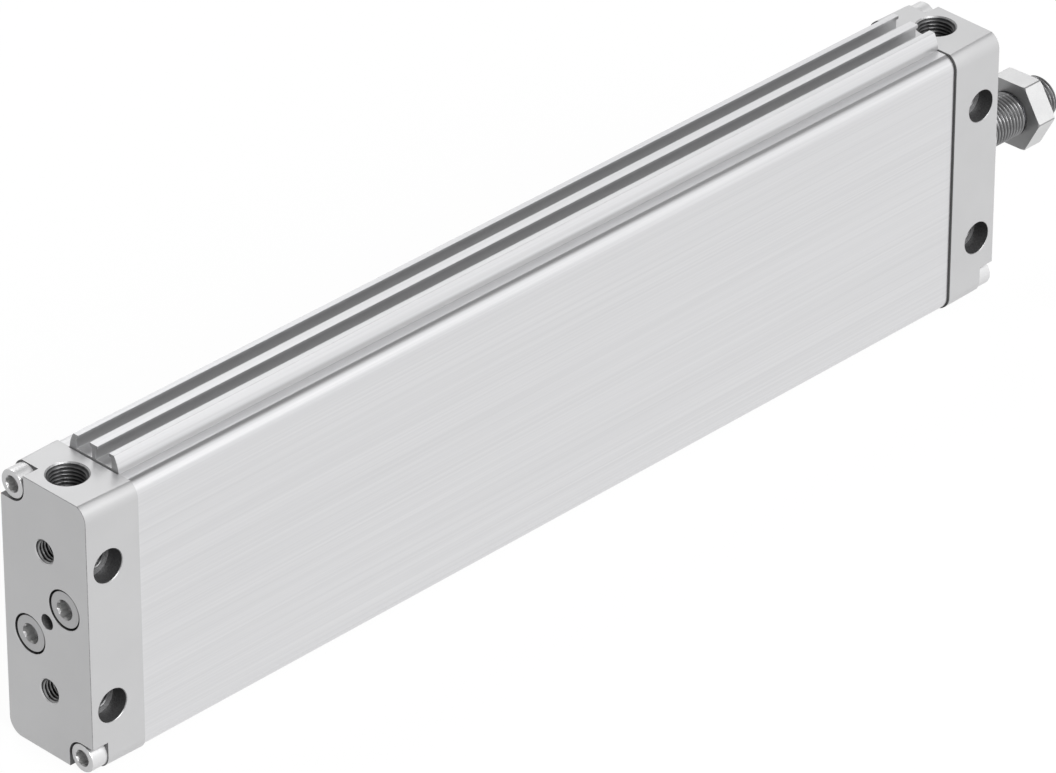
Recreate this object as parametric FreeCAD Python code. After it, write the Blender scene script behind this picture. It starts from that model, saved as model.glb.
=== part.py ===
"""Flat double-acting air cylinder: an oval piston in an extruded barrel between two end caps.

Lengths are millimetres and angles degrees. The origin is the middle of the rear face, on the rod axis.
x runs along the rod to its threaded end, y across the flat body, and z up to the two air ports.
"""
import FreeCAD
import Part
import math
import os

V = FreeCAD.Vector

# Body section, as it is at the outer faces of both caps
BODY_HEIGHT = 98.0
BODY_THICKNESS = 38.4
CORNER_RADIUS = 5.5
TOP_CUT = 0.5            # the top face lies this far below the crest of its corner rounds
CAP_LENGTH = 21.4
CAP_FLARE = 0.3          # a cap's draft widens it by this much on each side at the joint
BARREL_INSET = 0.2       # the barrel is smaller by this much on each side
EDGE_BREAK = 0.3

# Sensor ribs on the barrel's top face
RIB_HEIGHT = 5.6         # above the caps' top face
RIB_BASE_HALF = 11.1
RIB_TOP_HALF = 9.15
RIB_BULGE = 0.2
MIDDLE_RIB_WIDTH = 3.5
SLOT_OPENING = 5.2
SLOT_WIDTH = 7.0
SLOT_FLOOR = 0.6         # the slot's floor stands this far above the caps' top face
LIP_THICKNESS = 1.25

# Oval bore and the travel of the piston in it
STROKE = 320.0
BORE_WIDTH = 27.0
BORE_HEIGHT = 78.5
PLUG_LENGTH = 14.0
SPIGOT_REACH = 4.0
GASKET_THICKNESS = 0.6
GASKET_INSET = 0.05
GASKET_BORE_GAP = 0.5
END_GAP = 0.3            # between a cushion and the face that stops it

# Clearances, each measured on the radius
SEAT_FIT = 0.05          # pieces that don't move on each other
RUN_FIT = 0.05           # rod in its bush, nut on its thread
PLUG_FIT = 0.1
BAND_GAP = 0.2
SEAL_GAP = 0.3
PISTON_GAP = 0.4
SCREW_HOLE_GAP = 0.3

# Corner screws and the open pockets that hold their heads
CORNER_SCREW_INSET = 5.3
POCKET_RADIUS = 5.5
POCKET_DEPTH = 6.2
CORNER_HEAD_D = 9.8
CORNER_HEAD_LENGTH = 6.0
CORNER_THREAD_D = 6.0
CORNER_ENGAGEMENT = 14.0
CORNER_SOCKET = 5.8
CORNER_SOCKET_DEPTH = 2.8
TIP_GAP = 1.0            # free hole past a screw's tip

# Middle screws, which draw the rear plug against the rear cap
MIDDLE_SCREW_OFFSET = 8.1
MIDDLE_BORE_D = 13.6
MIDDLE_BORE_DEPTH = 8.2
MIDDLE_HEAD_D = 12.8
MIDDLE_HEAD_LENGTH = 8.0
MIDDLE_THREAD_D = 8.0
MIDDLE_ENGAGEMENT = 7.5
MIDDLE_SOCKET = 7.0
MIDDLE_SOCKET_DEPTH = 3.4
CENTRE_HOLE_D = 5.3
CENTRE_HOLE_DEPTH = 10.0

# Six-lobe socket proportions, as shares of the size across its lobes
LOBES = 6
LOBE_ROOT_SHARE = 0.82
LOBE_TIP_SHARE = 0.15
RIM_CHAMFER = 0.4

# Mounting threads and air ports in the caps
MOUNT_SPACING = 51.0
MOUNT_INSET = 8.5
MOUNT_THREAD_D = 8.0
MOUNT_THREAD_DEPTH = 8.0
COUNTERBORE_D = 11.6
COUNTERBORE_DEPTH = 6.0
END_THREAD_DEPTH = 16.0
THREAD_CHAMFER = 0.35
PORT_INSET = 10.5
PORT_THREAD_D = 13.16
PORT_THREAD_DEPTH = 12.0
PORT_CHAMFER = 0.45
PORT_DRILL_D = 7.0
PASSAGE_D = 5.0
PASSAGE_WALL = 1.0       # metal between the passage and the groove of the plug's seal
DRILL_OVER = 0.2

# Plug seal, a moulded ring of rectangular section
PLUG_SEAL_DEPTH = 2.4
PLUG_SEAL_LENGTH = 3.0
PLUG_GROOVE_INSET = 1.6  # from the plug's inner face, past the ends of the middle screws

# Piston rod, its thread and nut
ROD_D = 20.0
ROD_NECK = 12.7          # plain rod that stands out of the bearing cap when retracted
ROD_THREAD_D = 16.0
ROD_THREAD_LENGTH = 32.0
ROD_THREAD_PITCH = 1.5
ROD_TIP_CHAMFER = 1.5
FLAT_START = 1.5
FLAT_LENGTH = 7.0
FLAT_WIDTH = 17.0        # across the two spanner flats
NUT_WIDTH = 24.0
NUT_THICKNESS = 8.0
NUT_PLACE = 28.0         # from the bearing cap's face to the nut
NUT_TURN = -2.0
NUT_CHAMFER = 0.38
NUT_CHAMFER_ANGLE = 30.0
THREAD_END_GAP = 0.3

# Rod bearing, seal and wiper in the bearing cap
BUSH_WALL = 2.0
BUSH_INSET = 0.5
SEAL_HOUSING_WALL = 5.0
SEAL_HOUSING_DEPTH = 10.0
ROD_SEAL_LENGTH = 5.2
ROD_SEAL_NOTCH = 1.8
WIPER_INSET = 0.3
WIPER_LIP = 1.2
FACE_GAP = 0.1           # between neighbouring rings along x

# Piston
PISTON_LENGTH = 24.0
SEAL_GROOVE_START = 3.0
SEAL_GROOVE_LENGTH = 5.4
SEAL_GROOVE_DEPTH = 4.0
SEAL_NOTCH = 1.6
SEAL_LIP_RELIEF = 0.8
BAND_GROOVE_LENGTH = 6.4
MAGNET_DEPTH = 3.0
BAND_THICKNESS = 1.9
ROD_SEAT = 2.0
STUD_D = 12.0
STUD_REACH = 1.0         # how far the rod's stud enters the rear half
STUD_SEAL_DEPTH = 1.7
STUD_SEAL_LENGTH = 1.6
PISTON_SCREW_D = 8.0
PISTON_SCREW_LENGTH = 22.0
PISTON_HEAD_D = 13.0
PISTON_HEAD_LENGTH = 7.0
PISTON_HEAD_GAP = 0.5
PISTON_SOCKET = 7.0
PISTON_SOCKET_DEPTH = 3.4

# Cushions, two at each end of the piston
CUSHION_D = 15.0
CUSHION_THICKNESS = 3.0
CUSHION_SEAT = 1.0
CUSHION_OFFSET = 20.0

# Stations along the rod
CUSHION_STAND = CUSHION_THICKNESS - CUSHION_SEAT
PISTON_STACK = PISTON_LENGTH + 2 * (CUSHION_STAND + END_GAP)
BARREL_LENGTH = PLUG_LENGTH + PISTON_STACK + STROKE + SPIGOT_REACH
X_REAR_JOINT = CAP_LENGTH
X_PLUG_FACE = X_REAR_JOINT + PLUG_LENGTH
X_PLUG_SEAL = X_PLUG_FACE - PLUG_GROOVE_INSET - FACE_GAP - PLUG_SEAL_LENGTH
X_PISTON = X_PLUG_FACE + END_GAP + CUSHION_STAND
X_PISTON_SPLIT = X_PISTON + PISTON_LENGTH / 2
X_PISTON_FRONT = X_PISTON + PISTON_LENGTH
X_BARREL_END = X_REAR_JOINT + BARREL_LENGTH
X_SPIGOT_FACE = X_BARREL_END - SPIGOT_REACH
X_FRONT_JOINT = X_BARREL_END + GASKET_THICKNESS
X_FRONT = X_FRONT_JOINT + CAP_LENGTH
X_SEAL_SEAT = X_FRONT - SEAL_HOUSING_DEPTH
X_ROD_SHOULDER = X_PISTON_FRONT - ROD_SEAT
X_STUD_END = X_PISTON_SPLIT - STUD_REACH
X_SCREW_SEAT = X_PISTON + PISTON_HEAD_LENGTH + PISTON_HEAD_GAP
X_THREAD = X_FRONT + ROD_NECK
X_ROD_TIP = X_THREAD + ROD_THREAD_LENGTH
X_NUT = X_FRONT + NUT_PLACE

# Radii and offsets that several pieces share
CAP_TOP = BODY_HEIGHT / 2
BARREL_TOP = CAP_TOP - BARREL_INSET
BORE_R = BORE_WIDTH / 2
BORE_STRAIGHT = BORE_HEIGHT - BORE_WIDTH
PLUG_R = BORE_R - PLUG_FIT
PISTON_R = BORE_R - PISTON_GAP
PLUG_GROOVE_R = BORE_R - SEAT_FIT - PLUG_SEAL_DEPTH - SEAT_FIT
SEAL_GROOVE_R = PISTON_R - SEAL_GROOVE_DEPTH
MAGNET_OUT_R = BORE_R - BAND_GAP - BAND_THICKNESS - SEAT_FIT
MAGNET_IN_R = MAGNET_OUT_R - MAGNET_DEPTH
ROD_R = ROD_D / 2
STUD_R = STUD_D / 2
ROD_THREAD_R = ROD_THREAD_D / 2
THREAD_DEPTH_SHARE = 0.61    # height of a metric thread as a share of its pitch
ROD_ROOT_R = ROD_THREAD_R - THREAD_DEPTH_SHARE * ROD_THREAD_PITCH
BUSH_R = ROD_R + RUN_FIT + BUSH_WALL
SEAL_HOUSING_R = ROD_R + SEAL_HOUSING_WALL
CORNER_Y = BODY_THICKNESS / 2 - CORNER_SCREW_INSET
CORNER_Z = BODY_HEIGHT / 2 - CORNER_SCREW_INSET
CORNER_AXES = [(CORNER_Y, CORNER_Z), (-CORNER_Y, -CORNER_Z)]
MIDDLE_AXES = [(-MIDDLE_SCREW_OFFSET, MIDDLE_SCREW_OFFSET), (MIDDLE_SCREW_OFFSET, -MIDDLE_SCREW_OFFSET)]
PASSAGE_Z = BORE_STRAIGHT / 2 + PLUG_GROOVE_R - PASSAGE_WALL - PASSAGE_D / 2
FULL_TURN = 360.0
HALF_TURN = 180.0


def bar(start, end, diameter):
    """Round bar between two points."""
    run = end - start
    return Part.makeCylinder(diameter / 2, run.Length, start, run)


def cone(start, end, start_d, end_d):
    """Round taper between two points."""
    run = end - start
    return Part.makeCone(start_d / 2, end_d / 2, run.Length, start, run)


def face_at(x, corners):
    """Face across the rod from (y, z) corners; (y, z, via_y, via_z) ends an arc through the via point."""
    edges = []
    for here, there in zip(corners, corners[1:] + corners[:1]):
        start = V(x, here[0], here[1])
        end = V(x, there[0], there[1])
        if len(there) == 2:
            edges.append(Part.LineSegment(start, end).toShape())
        else:
            via = V(x, there[2], there[3])
            edges.append(Part.Arc(start, via, end).toShape())
    return Part.Face(Part.Wire(edges))


def prism(x_start, x_end, corners):
    """Solid with one section, between two stations on the rod."""
    return face_at(x_start, corners).extrude(V(x_end - x_start, 0, 0))


def turned(points):
    """Solid of revolution about the rod axis from (x, radius) points."""
    corners = [V(x, radius, 0) for x, radius in points]
    face = Part.Face(Part.makePolygon(corners + corners[:1]))
    return face.revolve(V(0, 0, 0), V(1, 0, 0), FULL_TURN)


def ring(x_start, x_end, inner_r, outer_r):
    """Plain round ring on the rod axis."""
    return turned([(x_start, inner_r), (x_end, inner_r), (x_end, outer_r), (x_start, outer_r)])


def arc_to(centre_y, centre_z, radius, start, end):
    """Corner that ends an arc about a centre, from one angle to another."""
    middle = math.radians((start + end) / 2)
    last = math.radians(end)
    return (centre_y + radius * math.cos(last), centre_z + radius * math.sin(last),
            centre_y + radius * math.cos(middle), centre_z + radius * math.sin(middle))


def body_section(inset, top_z, top):
    """Outer section of the body, drawn in by inset, with its top face at top_z and the corners along it."""
    half_y = BODY_THICKNESS / 2 - inset
    half_z = BODY_HEIGHT / 2 - inset
    radius = CORNER_RADIUS - inset
    side = half_y - radius
    low = radius - half_z
    high = half_z + TOP_CUT - radius
    crease = math.degrees(math.asin((top_z - high) / radius))
    crease_y = side + radius * math.cos(math.radians(crease))
    quarter = HALF_TURN / 2
    return [(side, -half_z), arc_to(side, low, radius, -quarter, 0),
            (half_y, high), arc_to(side, high, radius, 0, crease), *top,
            (-crease_y, top_z), arc_to(-side, high, radius, HALF_TURN - crease, HALF_TURN),
            (-half_y, low), arc_to(-side, low, radius, HALF_TURN, HALF_TURN + quarter)]


def rib_section():
    """Corners of the three ribs, whose hooked tops leave two T-shaped slots between them."""
    base = BARREL_TOP
    top = CAP_TOP + RIB_HEIGHT
    lip = top - LIP_THICKNESS
    floor = CAP_TOP + SLOT_FLOOR
    post = MIDDLE_RIB_WIDTH / 2
    hook = post + SLOT_OPENING
    near = post + (SLOT_OPENING - SLOT_WIDTH) / 2
    far = near + SLOT_WIDTH
    run = V(RIB_TOP_HALF - RIB_BASE_HALF, top - base)
    bulge_y = RIB_BASE_HALF + run.x / 2 + RIB_BULGE * run.y / run.Length
    bulge_z = base + run.y / 2 - RIB_BULGE * run.x / run.Length
    slot = [(hook, top), (hook, lip), (far, lip), (far, floor),
            (near, floor), (near, lip), (post, lip), (post, top)]
    left = [(-y, z) for y, z in reversed(slot)]
    return [(RIB_BASE_HALF, base), (RIB_TOP_HALF, top, bulge_y, bulge_z), *slot, *left,
            (-RIB_TOP_HALF, top), (-RIB_BASE_HALF, base, -bulge_y, bulge_z)]


def oval(radius):
    """Section like the bore's: two half rounds of this radius joined by straight sides."""
    half = BORE_STRAIGHT / 2
    return [(radius, -half, 0, -half - radius), (radius, half),
            (-radius, half, 0, half + radius), (-radius, -half)]


def oval_groove(x_start, x_end, floor_r):
    """Groove cut round the plug or the piston down to a floor."""
    return prism(x_start, x_end, oval(BORE_R)).cut(prism(x_start, x_end, oval(floor_r)))


def oval_ring(profile):
    """Ring swept round the oval from a flat profile that stands at its side."""
    half = BORE_STRAIGHT / 2
    side = profile.copy()
    side.translate(V(0, 0, half))
    straight = side.extrude(V(0, 0, -BORE_STRAIGHT))
    end = side.revolve(V(0, 0, half), V(1, 0, 0), HALF_TURN)
    pieces = [straight, end]
    for piece in (straight, end):
        other = piece.copy()
        other.rotate(V(0, 0, 0), V(1, 0, 0), HALF_TURN)
        pieces.append(other)
    return pieces[0].multiFuse(pieces[1:]).removeSplitter()


def side_profile(points):
    """Flat profile of an oval ring, from (x, radius) points."""
    corners = [V(x, radius, 0) for x, radius in points]
    return Part.Face(Part.makePolygon(corners + corners[:1]))


def six_lobe(x, centre_y, centre_z, size):
    """Section of a six-lobe socket: rounded lobes joined by hollow arcs that run into them."""
    tip_r = LOBE_TIP_SHARE * size
    reach = size / 2 - tip_r
    root = LOBE_ROOT_SHARE * size / 2
    half_step = math.pi / LOBES
    cosine = math.cos(half_step)
    spread = reach ** 2 + root ** 2 - 2 * reach * root * cosine - tip_r ** 2
    hollow_r = spread / (2 * (tip_r - root + reach * cosine))
    share = tip_r / (tip_r + hollow_r)
    corners = []
    for lobe in range(LOBES):
        angle = 2 * half_step * lobe
        centre = (reach * math.cos(angle), reach * math.sin(angle))
        joins = []
        for turn in (angle - half_step, angle + half_step):
            hollow = ((root + hollow_r) * math.cos(turn), (root + hollow_r) * math.sin(turn))
            joins.append([(1 - share) * a + share * b for a, b in zip(centre, hollow)])
        valley = angle - half_step
        corners.append((*joins[0], root * math.cos(valley), root * math.sin(valley)))
        corners.append((*joins[1], size / 2 * math.cos(angle), size / 2 * math.sin(angle)))
    shifted = []
    for y, z, via_y, via_z in corners:
        shifted.append((centre_y + y, centre_z + z, centre_y + via_y, centre_z + via_z))
    return face_at(x, shifted)


def socket_screw(x_seat, inward, axis, head_d, head_length, shank_d, length, socket, socket_depth):
    """Cylinder-head screw with a six-lobe socket; the head stands outward of its seat."""
    y, z = axis
    seat = V(x_seat, y, z)
    rim = V(x_seat - inward * (head_length - RIM_CHAMFER), y, z)
    top = V(x_seat - inward * head_length, y, z)
    head = bar(seat, rim, head_d).fuse(cone(rim, top, head_d, head_d - 2 * RIM_CHAMFER))
    screw = head.fuse(bar(seat, V(x_seat + inward * length, y, z), shank_d)).removeSplitter()
    recess = six_lobe(top.x, y, z, socket).extrude(V(inward * socket_depth, 0, 0))
    return screw.cut(recess)


def mouth(start, inward, diameter, chamfer):
    """Chamfer at the mouth of a threaded hole."""
    return cone(start, start + inward * chamfer, diameter + 2 * chamfer, diameter)


def pocket(x_face, inward, axis):
    """Open corner pocket round a corner screw's head, rounded about the screw."""
    sign = math.copysign(1, axis[0])
    y, z = abs(axis[0]), abs(axis[1])
    inner_y = y - POCKET_RADIUS
    inner_z = z - POCKET_RADIUS
    past_y = y + POCKET_RADIUS + CORNER_SCREW_INSET
    past_z = z + POCKET_RADIUS + CORNER_SCREW_INSET
    low_turn = HALF_TURN + HALF_TURN / 2
    corners = [(inner_y, z), arc_to(y, z, POCKET_RADIUS, HALF_TURN, low_turn),
               (past_y, inner_z), (past_y, past_z), (inner_y, past_z)]
    solid = prism(x_face, x_face + inward * POCKET_DEPTH, corners)
    if sign < 0:
        solid.rotate(V(0, 0, 0), V(1, 0, 0), HALF_TURN)
    return solid


def cap_cuts(x_face, inward):
    """Holes and pockets that both caps have, measured inward from the outer face."""
    x_inner = x_face + inward * CAP_LENGTH
    x_mount = x_face + inward * MOUNT_INSET
    x_port = x_face + inward * PORT_INSET
    half_y = BODY_THICKNESS / 2
    along = V(inward, 0, 0)
    cuts = []
    for axis in CORNER_AXES:
        cuts.append(pocket(x_face, inward, axis))
        hole_d = CORNER_THREAD_D + 2 * SCREW_HOLE_GAP
        cuts.append(bar(V(x_face, *axis), V(x_inner, *axis), hole_d))
    for z in (-MOUNT_SPACING / 2, MOUNT_SPACING / 2):
        start = V(x_face, 0, z)
        cuts.append(bar(start, start + along * END_THREAD_DEPTH, MOUNT_THREAD_D))
        cuts.append(mouth(start, along, MOUNT_THREAD_D, THREAD_CHAMFER))
        for side in (-1, 1):
            outside = V(x_mount, side * (half_y + CAP_FLARE), z)
            step = V(x_mount, side * (half_y - COUNTERBORE_DEPTH), z)
            cuts.append(bar(outside, step, COUNTERBORE_D))
            cuts.append(bar(step, step - V(0, side * MOUNT_THREAD_DEPTH, 0), MOUNT_THREAD_D))
    top = V(x_port, 0, CAP_TOP)
    cuts.append(bar(top, top - V(0, 0, PORT_THREAD_DEPTH), PORT_THREAD_D))
    cuts.append(mouth(top, V(0, 0, -1), PORT_THREAD_D, PORT_CHAMFER))
    drill_end = V(x_port, 0, PASSAGE_Z - PASSAGE_D / 2 - DRILL_OVER)
    cuts.append(bar(top, drill_end, PORT_DRILL_D))
    return cuts


def cap_blank(x_face, inward):
    """Plain cap: a casting with a broken outer edge that flares to the joint, its top machined flat."""
    wires = []
    for depth, inset, top_z in ((0, EDGE_BREAK, CAP_TOP - EDGE_BREAK), (EDGE_BREAK, 0, CAP_TOP),
                                (CAP_LENGTH, -CAP_FLARE, CAP_TOP)):
        wires.append(face_at(x_face + inward * depth, body_section(inset, top_z, [])).OuterWire)
    return Part.makeLoft(wires, True, True)


def passage(x_face, inward, x_end):
    """Air passage from the port's drill to the bore."""
    x_port = x_face + inward * PORT_INSET
    return bar(V(x_port, 0, PASSAGE_Z), V(x_end, 0, PASSAGE_Z), PASSAGE_D)


def make_rear_cap():
    cuts = cap_cuts(0, 1)
    for axis in MIDDLE_AXES:
        cuts.append(bar(V(0, *axis), V(MIDDLE_BORE_DEPTH, *axis), MIDDLE_BORE_D))
        hole_d = MIDDLE_THREAD_D + 2 * SCREW_HOLE_GAP
        cuts.append(bar(V(0, *axis), V(CAP_LENGTH, *axis), hole_d))
    cuts.append(bar(V(0, 0, 0), V(CENTRE_HOLE_DEPTH, 0, 0), CENTRE_HOLE_D))
    cuts.append(passage(0, 1, X_REAR_JOINT))
    return cap_blank(0, 1).cut(cuts)


def make_bearing_cap():
    spigot = prism(X_FRONT_JOINT, X_SPIGOT_FACE, oval(PLUG_R))
    cuts = cap_cuts(X_FRONT, -1)
    cuts.append(passage(X_FRONT, -1, X_SPIGOT_FACE))
    cuts.append(bar(V(X_SPIGOT_FACE, 0, 0), V(X_FRONT, 0, 0), 2 * (BUSH_R + SEAT_FIT)))
    cuts.append(bar(V(X_SEAL_SEAT, 0, 0), V(X_FRONT, 0, 0), 2 * SEAL_HOUSING_R))
    return cap_blank(X_FRONT, -1).fuse(spigot).cut(cuts)


def gasket_section():
    """Outline of the front gasket, which follows the cap at the joint."""
    return body_section(GASKET_INSET - CAP_FLARE, CAP_TOP - GASKET_INSET, [])


def make_barrel():
    """Extruded barrel; its front end is faced back for the gasket, and its ribs run on over it."""
    section = body_section(BARREL_INSET, BARREL_TOP, rib_section())
    cuts = [prism(X_BARREL_END, X_FRONT_JOINT, gasket_section())]
    cuts.append(prism(X_REAR_JOINT, X_BARREL_END, oval(BORE_R)))
    hole_d = CORNER_THREAD_D + 2 * SEAT_FIT
    depth = CORNER_ENGAGEMENT + TIP_GAP
    for axis in CORNER_AXES:
        cuts.append(bar(V(X_REAR_JOINT, *axis), V(X_REAR_JOINT + depth, *axis), hole_d))
        cuts.append(bar(V(X_BARREL_END, *axis), V(X_BARREL_END - depth, *axis), hole_d))
    return prism(X_REAR_JOINT, X_FRONT_JOINT, section).cut(cuts)


def make_front_gasket():
    sheet = prism(X_BARREL_END, X_FRONT_JOINT, gasket_section())
    cuts = [prism(X_BARREL_END, X_FRONT_JOINT, oval(BORE_R + GASKET_BORE_GAP))]
    for axis in CORNER_AXES:
        hole_d = CORNER_THREAD_D + 2 * SCREW_HOLE_GAP
        cuts.append(bar(V(X_BARREL_END, *axis), V(X_FRONT_JOINT, *axis), hole_d))
    return sheet.cut(cuts)


def make_corner_screws(x_face, inward, x_thread):
    """Two screws through one cap into the barrel's corners, whose thread starts at x_thread."""
    x_seat = x_face + inward * POCKET_DEPTH
    length = abs(x_thread - x_seat) + CORNER_ENGAGEMENT
    screws = []
    for axis in CORNER_AXES:
        screws.append(socket_screw(x_seat, inward, axis, CORNER_HEAD_D, CORNER_HEAD_LENGTH, CORNER_THREAD_D,
                                   length, CORNER_SOCKET, CORNER_SOCKET_DEPTH))
    return Part.makeCompound(screws)


def make_middle_screws():
    length = CAP_LENGTH - MIDDLE_BORE_DEPTH + MIDDLE_ENGAGEMENT
    screws = []
    for axis in MIDDLE_AXES:
        screws.append(socket_screw(MIDDLE_BORE_DEPTH, 1, axis, MIDDLE_HEAD_D, MIDDLE_HEAD_LENGTH,
                                   MIDDLE_THREAD_D, length, MIDDLE_SOCKET, MIDDLE_SOCKET_DEPTH))
    return Part.makeCompound(screws)


def make_rear_plug():
    plug = prism(X_REAR_JOINT, X_PLUG_FACE, oval(PLUG_R))
    groove = oval_groove(X_PLUG_SEAL - FACE_GAP, X_PLUG_SEAL + PLUG_SEAL_LENGTH + FACE_GAP, PLUG_GROOVE_R)
    cuts = [groove, passage(0, 1, X_PLUG_FACE)]
    hole_d = MIDDLE_THREAD_D + 2 * SEAT_FIT
    hole_end = X_REAR_JOINT + MIDDLE_ENGAGEMENT + TIP_GAP
    for axis in MIDDLE_AXES:
        cuts.append(bar(V(X_REAR_JOINT, *axis), V(hole_end, *axis), hole_d))
    return plug.cut(cuts)


def make_rear_plug_seal():
    inner = PLUG_GROOVE_R + SEAT_FIT
    outer = BORE_R - SEAT_FIT
    end = X_PLUG_SEAL + PLUG_SEAL_LENGTH
    return oval_ring(side_profile([(X_PLUG_SEAL, inner), (end, inner), (end, outer), (X_PLUG_SEAL, outer)]))


def make_piston_rod():
    nut_start = X_NUT - THREAD_END_GAP
    nut_end = X_NUT + NUT_THICKNESS + THREAD_END_GAP
    step = ROD_R - ROD_THREAD_R
    rod = turned([(X_STUD_END, 0), (X_STUD_END, STUD_R), (X_ROD_SHOULDER, STUD_R), (X_ROD_SHOULDER, ROD_R),
                  (X_THREAD - step, ROD_R), (X_THREAD, ROD_THREAD_R), (nut_start, ROD_THREAD_R),
                  (nut_start, ROD_ROOT_R), (nut_end, ROD_ROOT_R), (nut_end, ROD_THREAD_R),
                  (X_ROD_TIP - ROD_TIP_CHAMFER, ROD_THREAD_R), (X_ROD_TIP, ROD_THREAD_R - ROD_TIP_CHAMFER),
                  (X_ROD_TIP, 0)])
    screw_end = X_SCREW_SEAT + PISTON_SCREW_LENGTH + TIP_GAP
    cuts = [bar(V(X_STUD_END, 0, 0), V(screw_end, 0, 0), PISTON_SCREW_D + 2 * SEAT_FIT)]
    for side in (-1, 1):
        corner = V(X_FRONT + FLAT_START, -ROD_D, 0)
        slab = Part.makeBox(FLAT_LENGTH, 2 * ROD_D, ROD_D, corner)
        slab.translate(V(0, 0, side * (FLAT_WIDTH + ROD_D) / 2 - ROD_D / 2))
        cuts.append(slab)
    return rod.cut(cuts)


def make_rod_nut():
    corner_r = NUT_WIDTH / 2 / math.cos(math.pi / LOBES)
    corners = []
    for corner in range(LOBES):
        angle = math.radians(NUT_TURN + FULL_TURN / LOBES * corner)
        corners.append((corner_r * math.cos(angle), corner_r * math.sin(angle)))
    block = prism(X_NUT, X_NUT + NUT_THICKNESS, corners)
    face_r = corner_r - NUT_CHAMFER / math.tan(math.radians(NUT_CHAMFER_ANGLE))
    bore_r = ROD_ROOT_R + RUN_FIT
    open_r = ROD_THREAD_R + RUN_FIT
    lead = open_r - bore_r
    end = X_NUT + NUT_THICKNESS
    envelope = turned([(X_NUT, open_r), (X_NUT, face_r), (X_NUT + NUT_CHAMFER, corner_r),
                       (end - NUT_CHAMFER, corner_r), (end, face_r), (end, open_r),
                       (end - lead, bore_r), (X_NUT + lead, bore_r)])
    return block.common(envelope)


def make_rod_bush():
    return ring(X_SPIGOT_FACE + BUSH_INSET, X_SEAL_SEAT, ROD_R + RUN_FIT, BUSH_R)


def make_rod_seal():
    inner = ROD_R + SEAL_GAP
    outer = SEAL_HOUSING_R - SEAT_FIT
    middle = (inner + outer) / 2
    start = X_SEAL_SEAT
    end = start + ROD_SEAL_LENGTH
    flank = ROD_SEAL_NOTCH / 2
    return turned([(start, inner), (end, inner), (end, outer), (start, outer), (start, middle + flank),
                   (start + ROD_SEAL_NOTCH, middle), (start, middle - flank)])


def make_rod_wiper():
    start = X_SEAL_SEAT + ROD_SEAL_LENGTH + FACE_GAP
    end = X_FRONT - WIPER_INSET
    inner = ROD_R + SEAL_GAP
    outer = SEAL_HOUSING_R - SEAT_FIT
    return turned([(start, inner + WIPER_LIP), (end - WIPER_LIP, inner), (end, inner),
                   (end - WIPER_LIP, inner + WIPER_LIP), (end - WIPER_LIP, outer), (start, outer)])


def cushion_places(x_face, inward):
    """Ends of the two cushions, from their seat in a piston face outwards."""
    places = []
    for z in (-CUSHION_OFFSET, CUSHION_OFFSET):
        seat = V(x_face + inward * CUSHION_SEAT, 0, z)
        places.append((seat, seat - V(inward * CUSHION_THICKNESS, 0, 0)))
    return places


def make_piston_half(x_face, inward):
    """One half of the oval piston, with its seal groove, its share of the band groove and cushion seats."""
    half = prism(x_face, X_PISTON_SPLIT, oval(PISTON_R))
    start = x_face + inward * SEAL_GROOVE_START
    cuts = [oval_groove(start, start + inward * SEAL_GROOVE_LENGTH, SEAL_GROOVE_R)]
    band_start = X_PISTON_SPLIT - inward * BAND_GROOVE_LENGTH / 2
    cuts.append(oval_groove(band_start, X_PISTON_SPLIT, MAGNET_IN_R - SEAT_FIT))
    for seat, end in cushion_places(x_face, inward):
        cuts.append(bar(seat, end, CUSHION_D + 2 * SEAT_FIT))
    return half, cuts


def make_piston_rear_half():
    half, cuts = make_piston_half(X_PISTON, 1)
    cuts.append(bar(V(X_PISTON, 0, 0), V(X_SCREW_SEAT, 0, 0), PISTON_HEAD_D + 2 * SCREW_HOLE_GAP))
    cuts.append(bar(V(X_PISTON, 0, 0), V(X_PISTON_SPLIT, 0, 0), PISTON_SCREW_D + 2 * SEAT_FIT))
    cuts.append(bar(V(X_STUD_END - FACE_GAP, 0, 0), V(X_PISTON_SPLIT, 0, 0), STUD_D + 2 * SEAT_FIT))
    return half.cut(cuts)


def make_piston_front_half():
    half, cuts = make_piston_half(X_PISTON_FRONT, -1)
    cuts.append(bar(V(X_PISTON_SPLIT, 0, 0), V(X_PISTON_FRONT, 0, 0), STUD_D + 2 * SEAT_FIT))
    cuts.append(bar(V(X_ROD_SHOULDER, 0, 0), V(X_PISTON_FRONT, 0, 0), ROD_D + 2 * SEAT_FIT))
    groove_d = STUD_D + 2 * (STUD_SEAL_DEPTH + 2 * SEAT_FIT)
    cuts.append(bar(V(X_ROD_SHOULDER - STUD_SEAL_LENGTH - FACE_GAP, 0, 0), V(X_ROD_SHOULDER, 0, 0), groove_d))
    return half.cut(cuts)


def make_rod_stud_seal():
    inner = STUD_R + SEAT_FIT
    return ring(X_ROD_SHOULDER - STUD_SEAL_LENGTH, X_ROD_SHOULDER, inner, inner + STUD_SEAL_DEPTH)


def make_piston_seal(x_face, inward):
    """Oval lip seal; its notch opens to the end of the barrel that it seals."""
    start = x_face + inward * (SEAL_GROOVE_START + FACE_GAP)
    end = x_face + inward * (SEAL_GROOVE_START + SEAL_GROOVE_LENGTH - FACE_GAP)
    inner = SEAL_GROOVE_R + SEAT_FIT
    outer = BORE_R - SEAL_GAP
    middle = (inner + outer) / 2
    flank = SEAL_NOTCH / 2
    points = [(end, inner), (end, outer - SEAL_LIP_RELIEF), (start, outer), (start, middle + flank),
              (start + inward * SEAL_NOTCH, middle), (start, middle - flank), (start, inner)]
    return oval_ring(side_profile(points))


def band_ends():
    """Ends of the magnet and the guide band in their shared groove."""
    reach = BAND_GROOVE_LENGTH / 2 - FACE_GAP
    return X_PISTON_SPLIT - reach, X_PISTON_SPLIT + reach


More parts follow.
